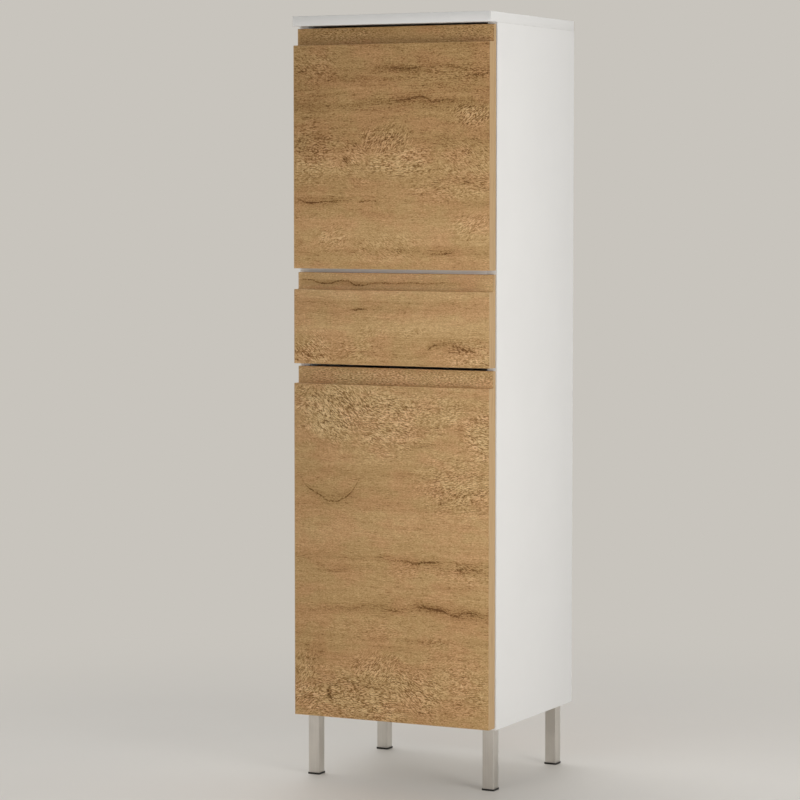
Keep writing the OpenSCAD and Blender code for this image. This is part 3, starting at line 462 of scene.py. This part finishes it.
def to_crack(f, here, x, z, front):
    """Distance to the nearest crack of a front, further where that crack is faint."""
    height_here = z + f.wave(here, (0.14, 0.0, 0.1)) * CRACK_SWAY
    away = []
    for path in CRACKS[front]:
        height, faint = follow(f, x, path)
        away.append(abs(height_here - height) + faint * FAINT_FAR)
    return reduce(f.least, away)


def oval(f, local, half_wide, half_high):
    """Distance from the middle of an oval on the front: 1 on its rim."""
    return f.length(local * (1 / half_wide, 0.0, 1 / half_high))


def rough_figure(f, here, ragged, front):
    """Strength of the rough figure, and the place turned the way its strokes lie there."""
    sway = f.join(0.0, 0.0, f.wave(here, (0.018, 0.02, 0.024), detail=1.0) * STROKE_SWAY)
    rough, place = None, here
    for x, z, half_wide, half_high, strength, angle in ROUGH[front]:
        local = here - (x, 0.0, z)
        patch = f.fade(oval(f, local, half_wide, half_high) + ragged, *PATCH_RIM, strength)
        turned = f.turn(local + sway, angle) + (x, 0.0, z)
        stronger = f.maths("GREATER_THAN", patch, FAINTEST if rough is None else rough)
        place = f.blend(place, turned, stronger)
        rough = patch if rough is None else f.most(rough, patch)
    return rough, place


def soft_shades(f, here, ragged, front):
    """Change of tone in the soft darker and lighter places of a front."""
    shades = []
    for x, z, half_wide, half_high, change, angle in SHADES[front]:
        local = f.turn(here - (x, 0.0, z), angle)
        shades.append(f.fade(oval(f, local, half_wide, half_high) + ragged, *SHADE_RIM, change))
    return reduce(lambda a, b: a + b, shades)


def plank_tones_and_shade(f, height, front):
    """Tone of the plank at a height, with a crisp joint between two planks, and with the painted
    shade that darkens the upper door towards its top.
    """
    low, high = PLANK_TONES_AND_SHADE[front][0][0], PLANK_TONES_AND_SHADE[front][-1][0] + TOP_PLANK
    stops = [((at - low) / (high - low), (tone, tone, tone)) for at, tone in PLANK_TONES_AND_SHADE[front]]
    return f.split(f.ramp((height - low) / (high - low), stops, between="CONSTANT"))[0]


def decor(f, here, look, front):
    """Colour, relief and roughness of the printed oak, without the strips on the side edges."""
    x, y, z = f.split(here)
    rear_face = box_mm(front)[1][1]
    drawn = f.fade(y, *(rear_face + place for place in DRAWN_UP_TO))

    # Slow waves that the grain and the planks follow
    drift = f.wave(here, (0.004, 0.02, 0.018), detail=2.0)
    ripple = f.wave(here, (0.02, 0.05, 0.05), detail=2.0)
    grain = f.join(x, y, z + drift * 16.0 + ripple * 4.0)
    # Tone of the planks, with painted shade that darkens the upper door towards its top
    plank_tone_and_shade = plank_tones_and_shade(f, z + drift * 3.0, front)

    # What the photograph shows at certain places
    near = to_crack(f, here, x, z, front)
    core = f.fade(near, *CRACK_CORE) * drawn
    halo = f.fade(near, *CRACK_HALO) * drawn
    ragged = f.wave(here, (0.035, 0.035, 0.05)) * PATCH_RAGGED
    rough, place = rough_figure(f, here, ragged, front)
    shade = soft_shades(f, here, ragged * SHADE_RAGGED, front)

    # Fibres: long and fine, with broader bands behind them, and a fine grit over all
    bands = f.wave(grain, (0.0035, 0.06, 0.075), rough=0.6)
    fibre = f.wave(grain, (0.022, 0.5, 0.42), detail=4.0, rough=0.62)
    grit = f.wave(here, (0.32, 0.6, 0.72), detail=2.0, rough=0.6, twist=0.6)
    blotch = f.wave(here, (0.05, 0.1, 0.11), shift=(3.0, 8.0, 5.0), detail=2.0)
    pores = f.step(f.noise(grain, (0.10, 0.9, 0.9), detail=2.0, rough=0.5), 0.56, 0.70)
    saw = f.wave(here, (0.5, 0.02, 0.02), detail=1.0, rough=0.6)

    # Flecks of the rough figure, with a few of them all over
    strokes = f.noise(place, (0.21, 0.36, 0.84), detail=2.0, rough=0.5, twist=0.3)
    flecks = f.step(strokes, 0.40, 0.59, -0.5, 0.5)
    flecks = flecks * ((rough + 0.22) * f.step(blotch, -0.22, 0.12, 0.8, 1.05))

    # The tone of all layers, from 0 for the darkest wood to 1 for the palest
    tone = plank_tone_and_shade + shade * drawn + bands * 0.28 + fibre * 0.42 + blotch * 0.16 + saw * 0.09
    tone = tone + grit * 1.05 + flecks * 0.60 - pores * 0.22
    trail = core * f.step(grit + fibre * 0.6, -0.14, 0.12, 0.48, 0.18) + halo * 0.09
    wood = f.ramp(tone - trail, WOOD_TONES)
    warm = f.noise(here, (0.014, 0.03, 0.028), shift=(7.0, 3.0, 1.0))
    tint = f.blend(look.oak_olive, look.oak_warm, f.step(warm, 0.40, 0.62))
    wood = f.blend(wood, tint, 1.0, "MULTIPLY")

    relief = fibre * 0.5 + grit * 0.6 + flecks * 0.7 - pores * 0.4 - core * 0.8
    gloss = 0.56 + fibre * 0.12 + core * 0.12 - flecks * 0.08
    return wood, relief, gloss


def oak(name, look, front, grip_height):
    """Rustic oak decor, its grain lying across the front, with the cracks of that front."""
    f = Finish(name)
    here = f.here()
    x, y, z = f.split(here)
    side_face, rear_face, top = box_mm(front)[1]
    board, relief, gloss = decor(f, here, look, front)

    # Smooth strips glued along the side edges, with a fine joint line next to the face
    line = side_face - STRIP
    side = f.step(abs(x), *(line + place for place in STRIP_FULL))
    joint = f.fade(abs(abs(x) - line), *STRIP_JOINT)
    veins = f.wave(here, (0.3, 0.55, 0.018), detail=4.0, rough=0.6)
    strip = f.blend(look.oak_edge, STRIP_VEIN, f.step(veins, -0.02, 0.22) * 0.55)
    board = f.blend(board, strip, side)
    board = f.blend(board, STRIP_GLUE, joint * 0.35)

    # Chipboard shows only inside the holes, which are all behind or below the finger grip
    depth = depths(f, here, front)
    grip = top - grip_height * PER_METRE
    behind = f.step(y, *(rear_face + place for place in BEHIND_GRIP))
    below = f.fade(z, *(grip + place for place in BELOW_GRIP))
    cut = f.step(reduce(f.least, depth), *OAK_CUT) * f.most(behind, below)
    board = f.blend(board, chipboard(f, here), cut)
    board = f.blend(board, RUBBED_OAK, wear(f, here, depth) * 0.3)

    bump = f.bump(relief * (1 - side), 0.22)
    return f.set(Base_Color=board, Roughness=gloss, Normal=bump, Specular_IOR_Level=0.32)


# ---------------------------------------------------------------------------------------------
# The other finishes

BROWN_FIBRES = (colour(134, 98, 66), colour(176, 138, 98))
DUSTY_ENAMEL = colour(205, 202, 195)
BEECH = (colour(214, 180, 134), colour(190, 150, 104))
BEECH_FLECK = colour(150, 108, 70)
CLEAR_RUBBER = colour(214, 212, 204)

# Where white surfaces end, in millimetres: each pair is the span of a smooth change
EDGING = 1.0  # thickness of the edging on a white board's front edge
EDGING_JOINT = (0.06, 0.22)  # from the line behind that edging
SKIN = (0.25, 0.4)  # below a white board's faces
RAW_BACK = (-0.7, -0.45)  # from a white board's back edge
WHITE_CUT = (0.9, 1.2)  # below the skin, where a hole shows chipboard
LACQUER = (-0.6, -0.4)  # from the rear face of the back panel

# Fineness of brushed metal, by the axis along which it is brushed
BRUSHING = {"X": (0.012, 2.2, 2.2), "Z": (2.2, 2.2, 0.012), "none": 0.9}


def white_board(name, look, node, raw_back=True):
    """White melamine on chipboard: satin and finely pearled, raw behind and in the holes."""
    f = Finish(name)
    here = f.here()
    y = f.split(here)[1]
    low, high = box_mm(node)
    depth = depths(f, here, node)
    cloud = f.noise(here, 0.008)
    base = f.blend(look.white, look.white_shade, f.step(cloud, 0.35, 0.7) * 0.5)

    # Hairline joint of the edging, just behind the front edge
    joint = f.fade(abs(y - (low[1] + EDGING)), *EDGING_JOINT)
    base = f.blend(base, look.white_joint, joint * 0.35)

    cut = f.step(reduce(f.least, depth), *WHITE_CUT)
    if raw_back:
        thin = min(range(3), key=lambda axis: high[axis] - low[axis])
        behind = f.step(y, *(high[1] + place for place in RAW_BACK))
        cut = f.most(cut, behind * f.step(depth[thin], *SKIN))
    base = f.blend(base, chipboard(f, here), cut)
    rubbed = wear(f, here, depth)
    base = f.blend(base, look.white_joint, rubbed * 0.22)

    smudge = f.noise(here, (0.02, 0.02, 0.013), detail=4.0, rough=0.6)
    gloss = 0.34 + f.step(smudge, 0.4, 0.75) * 0.10 + cut * 0.4 + rubbed * 0.12
    pearl = f.bump(f.noise(here, 0.9, detail=2.0, rough=0.5), 0.02)
    return f.set(Base_Color=base, Roughness=gloss, Normal=pearl, Specular_IOR_Level=0.45)


def hardboard(name, look, node):
    """Thin fibreboard: lacquered white inside, brown and pressed behind."""
    f = Finish(name)
    here = f.here()
    rear_face = box_mm(node)[1][1]
    rear = f.step(f.split(here)[1], *(rear_face + place for place in LACQUER))
    fibres = f.noise(here, 0.25, detail=5.0, rough=0.7)
    base = f.blend(look.white, f.blend(*BROWN_FIBRES, f.step(fibres, 0.3, 0.7)), rear)
    inputs = {"Vector": here, "Scale": 0.16, "Distortion": 0.4}
    mesh = [f.add("TexWave", inputs, out="Fac", bands_direction=axis) for axis in "XZ"]
    relief = f.noise(here, 0.8, detail=2.0) * 0.3 + mesh[0] * mesh[1] * rear * 0.8
    return f.set(
        Base_Color=base,
        Roughness=0.42 + rear * 0.3,
        Normal=f.bump(relief, 0.04),
        Specular_IOR_Level=0.4,
    )


def satin_metal(name, tint, gloss, brushed="none", grain=0.05):
    """Satin metal with fine brushing along one axis and slightly polished places."""
    f = Finish(name)
    here = f.here()
    lines = f.wave(here, BRUSHING[brushed], detail=4.0, rough=0.65)
    cloud = f.wave(here, 0.03)
    handled = f.step(f.noise(here, (0.07, 0.07, 0.05), detail=4.0, rough=0.6), 0.5, 0.75)
    bright = tuple(min(1.0, part * 1.12) for part in tint)
    return f.set(
        Base_Color=f.blend(tint, bright, f.step(lines + cloud * 0.6, -0.2, 0.25)),
        Metallic=1.0,
        Roughness=gloss + lines * grain * 2 + handled * 0.05,
        Normal=f.bump(lines, 0.012, 0.35),
    )


def moulded(name, tint, gloss, grit=0.03, shine=0.4):
    """Moulded plastic with a fine eroded texture, the grit being its depth in millimetres."""
    f = Finish(name)
    here = f.here()
    grain = f.noise(here, 1.2, rough=0.6)
    flow = f.noise(here, (0.05, 0.05, 0.12))
    darker = tuple(part * 0.82 for part in tint)
    return f.set(
        Base_Color=f.blend(tint, darker, f.step(flow, 0.35, 0.7) * 0.5),
        Roughness=gloss + (grain - 0.5) * 0.16,
        Normal=f.bump(grain, grit),
        Specular_IOR_Level=shine,
    )


def enamel(name, look):
    """White baked enamel on pressed sheet, a little wavy like orange peel."""
    f = Finish(name)
    here = f.here()
    peel = f.noise(here, 0.55, detail=2.0, rough=0.4)
    dust = f.step(f.noise(here, (0.12, 0.05, 0.2), detail=4.0, rough=0.7), 0.55, 0.8)
    return f.set(
        Base_Color=f.blend(look.white, DUSTY_ENAMEL, dust * 0.5),
        Roughness=0.28 + dust * 0.15,
        Normal=f.bump(peel, 0.03),
        Coat_Weight=0.2,
    )


def turned_beech(name):
    """Beech dowel wood: pale, with short dark flecks along the pin."""
    f = Finish(name)
    here = f.here()
    grain = f.noise(here, (0.25, 0.7, 0.7), detail=4.0, rough=0.6)
    flecks = f.noise(here, (0.6, 1.6, 1.6), shift=(5.0, 9.0, 2.0), detail=2.0)
    base = f.blend(*BEECH, f.step(grain, 0.35, 0.7))
    base = f.blend(base, BEECH_FLECK, f.step(flecks, 0.58, 0.7) * 0.5)
    return f.set(Base_Color=base, Roughness=0.62 + grain * 0.1, Normal=f.bump(grain, 0.05, 0.4))


# ---------------------------------------------------------------------------------------------
# Pieces

WELD_GAP = 0.01 * MM
FLAT_ANGLE = 0.5  # degrees between faces that count as one
SHARP_ANGLE = 35.0  # degrees at an edge that is rounded


def ease_edges(obj, width, segments):
    """Rounds a piece's sharp edges a little, as an edging or a pressed part has them."""
    weld = obj.modifiers.new("one skin", "WELD")
    weld.merge_threshold = WELD_GAP
    flat = obj.modifiers.new("plain faces", "DECIMATE")
    flat.decimate_type = "DISSOLVE"
    flat.angle_limit = math.radians(FLAT_ANGLE)
    rim = obj.modifiers.new("eased edges", "BEVEL")
    rim.width = width
    rim.segments = segments
    rim.limit_method = "ANGLE"
    rim.angle_limit = math.radians(SHARP_ANGLE)
    rim.use_clamp_overlap = True
    rim.harden_normals = True
    for face in obj.data.polygons:
        face.use_smooth = True


def dress(nodes, material, edge=None, segments=2):
    """Gives CAD nodes their finish, and eases their edges by that width."""
    for node in nodes:
        NODE[node].data.materials.clear()
        NODE[node].data.materials.append(material)
        if edge:
            ease_edges(NODE[node], edge, segments)


# ---------------------------------------------------------------------------------------------
# Settings


def swatch(name, description, red, green, blue):
    """A colour setting, its default picked from the screen."""
    return FloatVectorProperty(
        name=name,
        description=description,
        subtype="COLOR",
        default=colour(red, green, blue),
        min=0,
        max=1,
    )


def measure(name, description, millimetres, most):
    """A length setting, its default and its upper limit given in millimetres."""
    return FloatProperty(
        name=name,
        description=description,
        subtype="DISTANCE",
        precision=4,
        default=millimetres * MM,
        min=0.1 * MM,
        max=most * MM,
    )


def brightness(name, description, default, subtype="NONE"):
    """A setting for the strength or the power of a light."""
    return FloatProperty(
        name=name,
        description=description,
        subtype=subtype,
        default=default,
        min=0,
    )


class CabinetLook(bpy.types.PropertyGroup):
    """Colours that the photograph shows, as they render under plain light."""

    white: swatch("White", "Colour of the white boards", 233, 232, 230)
    white_shade: swatch("White, shade", "Second tone in the white boards", 229, 228, 226)
    white_joint: swatch("Edging joint", "Hairline joint of the white edging", 186, 184, 178)
    oak_warm: swatch("Oak, warm", "Reddish tint over the oak's warm places", 255, 249, 248)
    oak_olive: swatch("Oak, olive", "Greenish tint over the oak's other places", 251, 254, 249)
    oak_edge: swatch("Oak edging", "Smooth strips on the fronts' side edges", 192, 160, 118)
    metal: swatch("Leg metal", "Colour of the satin legs", 212, 208, 202)
    nickel: swatch("Nickel", "Colour of the hinges", 205, 201, 194)
    zinc: swatch("Zinc", "Colour of screws, cams and axles", 186, 189, 192)
    black: swatch("Foot plastic", "Colour of the foot caps", 36, 33, 30)
    nylon: swatch("Nylon", "Colour of rollers and shelf pins", 232, 229, 219)


class CabinetShape(bpy.types.PropertyGroup):
    """Small sizes that only the looks need."""

    board_edge: measure("Board edges", "Rounding of the white boards' edges", 0.5, 2.0)
    front_edge: measure("Front edges", "Rounding of the oak fronts' edges", 0.6, 1.5)
    leg_edge: measure("Leg corners", "Rounding of the leg tubes' corners", 1.2, 3.0)
    foot_edge: measure("Foot caps", "Rounding of the foot caps", 0.7, 1.2)
    pressed_edge: measure("Pressed metal", "Rounding of hinges, runners and cams", 0.3, 0.5)
    roller_edge: measure("Rollers", "Rounding of the nylon rollers", 0.25, 0.5)
    screw_edge: measure("Screws", "Rounding of screws, bolts and brackets", 0.2, 0.4)
    dowel_edge: measure("Dowels", "Rounding of the dowels' ends", 0.8, 1.0)
    bumper_edge: measure("Bumpers", "Rounding of the soft bumpers", 0.5, 0.8)
    grip_height: measure("Grip height", "Finger grip along the top of each front", 27.0, 40.0)


class CabinetStage(bpy.types.PropertyGroup):
    """Floor, lamps and camera."""

    floor: swatch("Floor", "Colour of the floor", 222, 217, 210)
    sky: swatch("Background", "Colour of the background", 200, 196, 189)
    key: brightness("Key lamp", "Power of the large lamp at the right", 26.0, "POWER")
    fill: brightness("Fill lamp", "Power of the lamp at the left", 8.5, "POWER")
    rear: brightness("Rear light", "Strength of the soft light from behind the left", 1.6)
    ambient: brightness("Ambient", "Strength of the even light from all round", 0.4)
    lens: FloatProperty(
        name="Lens",
        description="Focal length of the camera",
        subtype="DISTANCE_CAMERA",
        default=136.588,
        min=10,
    )
    camera_place: FloatVectorProperty(
        name="Camera place",
        description="Where the camera stands",
        subtype="TRANSLATION",
        default=(2.15199, -4.49000, 0.95537),
    )
    camera_turn: FloatVectorProperty(
        name="Camera turn",
        description="Turn of the camera, which looks a little down and to the left",
        subtype="EULER",
        default=(math.radians(90 - 3.942), 0.0, math.radians(26.272)),
    )


GROUPS = {
    "cabinet_look": CabinetLook,
    "cabinet_shape": CabinetShape,
    "cabinet_stage": CabinetStage,
}


# ---------------------------------------------------------------------------------------------
# Studio

FLOOR_RADIUS = 9.0  # metres
FLOOR_CORNERS = 96
FLOOR_FADE = (500.0, 1600.0)  # millimetres from the middle, where floor turns into background
DAYLIGHT = (0.99, 1.0, 1.0)  # colour of the even light from all round
CAMERA_REACH = (0.1, 60.0)  # metres, between which things are drawn

# The lamps: place, the point that they shine at, and the side of their square
LAMPS = {
    "key": ((2.2, -1.0, 0.68), (0.1, 0.0, 0.62), 1.2),
    "fill": ((-0.5, -3.4, 1.0), (0.0, 0.0, 0.6), 1.6),
}


def put(scene, name, data):
    """A new object of the scene that shows this mesh, lamp or camera."""
    obj = bpy.data.objects.new(name, data)
    scene.collection.objects.link(obj)
    return obj


def floor_finish(stage):
    """Pale floor, which turns into the plain background further out."""
    f = Finish("pale_floor")
    here = f.here()
    grain = f.noise(here, 0.004)
    darker = tuple(part * 0.96 for part in stage.floor)
    f.set(Base_Color=f.blend(stage.floor, darker, grain), Roughness=0.6, Specular_IOR_Level=0.2)
    from_middle = f.length(here * (1.0, 1.0, 0.0))
    f.shine(stage.sky, f.step(from_middle, *FLOOR_FADE) * f.seen())
    return f.block


def soft_sky(stage):
    """Even light from all round, with more from behind the left, where no lamp reaches."""
    f = Finish("studio", world=True)
    x, y, z = f.split(f.add("TexCoord", out="Generated"))
    rear_left = y * 0.66 - x * 0.66 + z * 0.36
    behind = f.step(rear_left, 0.55, 0.95)
    f.set(Color=DAYLIGHT, Strength=behind * stage.rear + stage.ambient)
    f.shine(stage.sky, f.seen())
    return f.block


def lamp(scene, name, place, target, size, power):
    """A square soft lamp that shines at the target and isn't seen itself."""
    light = bpy.data.lights.new(name, "AREA")
    light.size = size
    light.energy = power
    obj = put(scene, name, light)
    obj.location = place
    obj.rotation_mode = "QUATERNION"
    obj.rotation_quaternion = (Vector(target) - Vector(place)).to_track_quat("-Z", "Y")
    obj.visible_camera = False


# ---------------------------------------------------------------------------------------------
# Operators, one for each group of pieces


class CABINET_OT_fronts(bpy.types.Operator):
    """Oak decor on the doors and the drawer front"""

    bl_idname = "cabinet.fronts"
    bl_label = "Oak fronts"

    def execute(self, context):
        look, shape = context.scene.cabinet_look, context.scene.cabinet_shape
        for node in ("upper_door", "drawer_front", "lower_door"):
            finish = oak("oak_" + node, look, node, shape.grip_height)
            dress([node], finish, shape.front_edge)
        return {"FINISHED"}


class CABINET_OT_carcass(bpy.types.Operator):
    """White boards of the carcass, with their shelves and the back panel"""

    bl_idname = "cabinet.carcass"
    bl_label = "White carcass"

    def execute(self, context):
        look, shape = context.scene.cabinet_look, context.scene.cabinet_shape
        fixed = ("top_panel", "bottom_panel", "left_side_panel", "right_side_panel", "fixed_shelf")
        for node in (*fixed, "upper_shelf", "lower_shelf"):
            finish = white_board("white_" + node, look, node, raw_back=node in fixed)
            dress([node], finish, shape.board_edge)
        dress(["back_panel"], hardboard("hardboard_back", look, "back_panel"))
        return {"FINISHED"}


class CABINET_OT_drawer_box(bpy.types.Operator):
    """White boards of the drawer box and its bottom"""

    bl_idname = "cabinet.drawer_box"
    bl_label = "Drawer box"

    def execute(self, context):
        look, shape = context.scene.cabinet_look, context.scene.cabinet_shape
        boards = ("drawer_left_side", "drawer_right_side", "drawer_back")
        for node in (*boards, "drawer_bottom"):
            finish = white_board("white_" + node, look, node, raw_back=False)
            dress([node], finish, shape.board_edge if node in boards else None)
        return {"FINISHED"}


class CABINET_OT_legs(bpy.types.Operator):
    """Square metal legs with their plates, and the black foot caps"""

    bl_idname = "cabinet.legs"
    bl_label = "Legs and feet"

    def execute(self, context):
        look, shape = context.scene.cabinet_look, context.scene.cabinet_shape
        metal = satin_metal("satin_leg_metal", look.metal, 0.36, brushed="Z")
        plastic = moulded("black_foot_plastic", look.black, 0.5)
        for place in ("front_left", "front_right", "back_left", "back_right"):
            dress(["leg_" + place], metal, shape.leg_edge, segments=3)
            dress(["foot_" + place], plastic, shape.foot_edge)
        return {"FINISHED"}


class CABINET_OT_hinges(bpy.types.Operator):
    """Concealed hinges: plates, arms, links and cups in nickel, with steel pins"""

    bl_idname = "cabinet.hinges"
    bl_label = "Hinges"

    def execute(self, context):
        look, shape = context.scene.cabinet_look, context.scene.cabinet_shape
        nickel = satin_metal("nickel_plate", look.nickel, 0.24, grain=0.06)
        steel = satin_metal("steel_pins", look.zinc, 0.2, brushed="Z", grain=0.03)
        pressed = ("hinge_plates", "hinge_arms", "upper_hinge_links", "lower_hinge_links",
                   "upper_hinge_cups", "lower_hinge_cups")
        dress(pressed, nickel, shape.pressed_edge)
        dress(("hinge_arm_pins", "upper_cup_pins", "lower_cup_pins"), steel)
        return {"FINISHED"}


class CABINET_OT_runners(bpy.types.Operator):
    """Enamelled drawer runners with nylon rollers on their axles"""

    bl_idname = "cabinet.runners"
    bl_label = "Drawer runners"

    def execute(self, context):
        look, shape = context.scene.cabinet_look, context.scene.cabinet_shape
        sheet = enamel("white_enamel", look)
        nylon = moulded("nylon_white", look.nylon, 0.36, grit=0.02)
        axle = satin_metal("axle_steel", look.zinc, 0.3, brushed="X", grain=0.04)
        profiles = ("cabinet_runner_left", "cabinet_runner_right",
                    "drawer_runner_left", "drawer_runner_right")
        dress(profiles, sheet, shape.pressed_edge)
        dress(("front_rollers", "rear_rollers"), nylon, shape.roller_edge)
        dress(("front_roller_axles", "rear_roller_axles"), axle)
        return {"FINISHED"}


class CABINET_OT_fittings(bpy.types.Operator):
    """Screws, cams, bolts, dowels, shelf pins, wall brackets and bumpers"""

    bl_idname = "cabinet.fittings"
    bl_label = "Fittings"

    def execute(self, context):
        look, shape = context.scene.cabinet_look, context.scene.cabinet_shape
        zinc = satin_metal("zinc_steel", look.zinc, 0.32, grain=0.08)
        cast = satin_metal("cast_zinc", look.zinc, 0.42, grain=0.1)
        pins = moulded("nylon_pins", look.nylon, 0.4, grit=0.02)
        soft = moulded("clear_bumper", CLEAR_RUBBER, 0.22, grit=0.01, shine=0.5)
        plated = ("leg_screws", "hinge_plate_screws", "hinge_arm_screws", "upper_cup_screws",
                  "lower_cup_screws", "cabinet_runner_screws", "drawer_runner_screws",
                  "wall_bracket_screws", "wall_brackets", "cam_bolts", "drawer_cam_bolts")
        bumpers = ("upper_door_bumpers", "lower_door_bumpers", "drawer_bumpers")
        dress(plated, zinc, shape.screw_edge)
        dress(("cam_locks", "drawer_cam_locks"), cast, shape.pressed_edge)
        dress(["shelf_pins"], pins)
        dress(("panel_dowels", "drawer_dowels"), turned_beech("turned_beech"), shape.dowel_edge)
        dress(bumpers, soft, shape.bumper_edge, segments=3)
        return {"FINISHED"}


class CABINET_OT_stage(bpy.types.Operator):
    """Pale floor, plain background, soft lamps and the camera"""

    bl_idname = "cabinet.stage"
    bl_label = "Studio"

    def execute(self, context):
        scene, stage = context.scene, context.scene.cabinet_stage
        scene.view_settings.view_transform = "Standard"
        ring = bmesh.new()
        bmesh.ops.create_circle(ring, cap_ends=True, segments=FLOOR_CORNERS, radius=FLOOR_RADIUS)
        mesh = bpy.data.meshes.new("floor")
        ring.to_mesh(mesh)
        ring.free()
        mesh.materials.append(floor_finish(stage))
        floor = put(scene, "floor", mesh)

        scene.world = soft_sky(stage)
        for name, setup in LAMPS.items():
            lamp(scene, name, *setup, power=getattr(stage, name))

        camera = bpy.data.cameras.new("camera")
        camera.lens = stage.lens
        camera.clip_start, camera.clip_end = CAMERA_REACH
        scene.camera = put(scene, "camera", camera)
        scene.camera.location = stage.camera_place
        scene.camera.rotation_euler = stage.camera_turn
        return {"FINISHED"}


STEPS = (
    CABINET_OT_fronts,
    CABINET_OT_carcass,
    CABINET_OT_drawer_box,
    CABINET_OT_legs,
    CABINET_OT_hinges,
    CABINET_OT_runners,
    CABINET_OT_fittings,
    CABINET_OT_stage,
)


class CABINET_PT_panel(bpy.types.Panel):
    """Steps that dress the cabinet, below their settings"""

    bl_idname = "CABINET_PT_panel"
    bl_label = "Tall cabinet"
    bl_space_type = "VIEW_3D"
    bl_region_type = "UI"
    bl_category = "Cabinet"

    def draw(self, context):
        for name, group in GROUPS.items():
            box = self.layout.box()
            for setting in group.__annotations__:
                box.prop(getattr(context.scene, name), setting)
        for step in STEPS:
            self.layout.operator(step.bl_idname)


def register():
    for name, group in GROUPS.items():
        bpy.utils.register_class(group)
        setattr(bpy.types.Scene, name, PointerProperty(type=group))
    for step in STEPS:
        bpy.utils.register_class(step)
    bpy.utils.register_class(CABINET_PT_panel)


def unregister():
    bpy.utils.unregister_class(CABINET_PT_panel)
    for step in reversed(STEPS):
        bpy.utils.unregister_class(step)
    for name, group in reversed(GROUPS.items()):
        delattr(bpy.types.Scene, name)
        bpy.utils.unregister_class(group)


def main():
    register()
    bpy.ops.cabinet.fronts()
    bpy.ops.cabinet.carcass()
    bpy.ops.cabinet.drawer_box()
    bpy.ops.cabinet.legs()
    bpy.ops.cabinet.hinges()
    bpy.ops.cabinet.runners()
    bpy.ops.cabinet.fittings()
    bpy.ops.cabinet.stage()


if __name__ == "__main__":
    main()
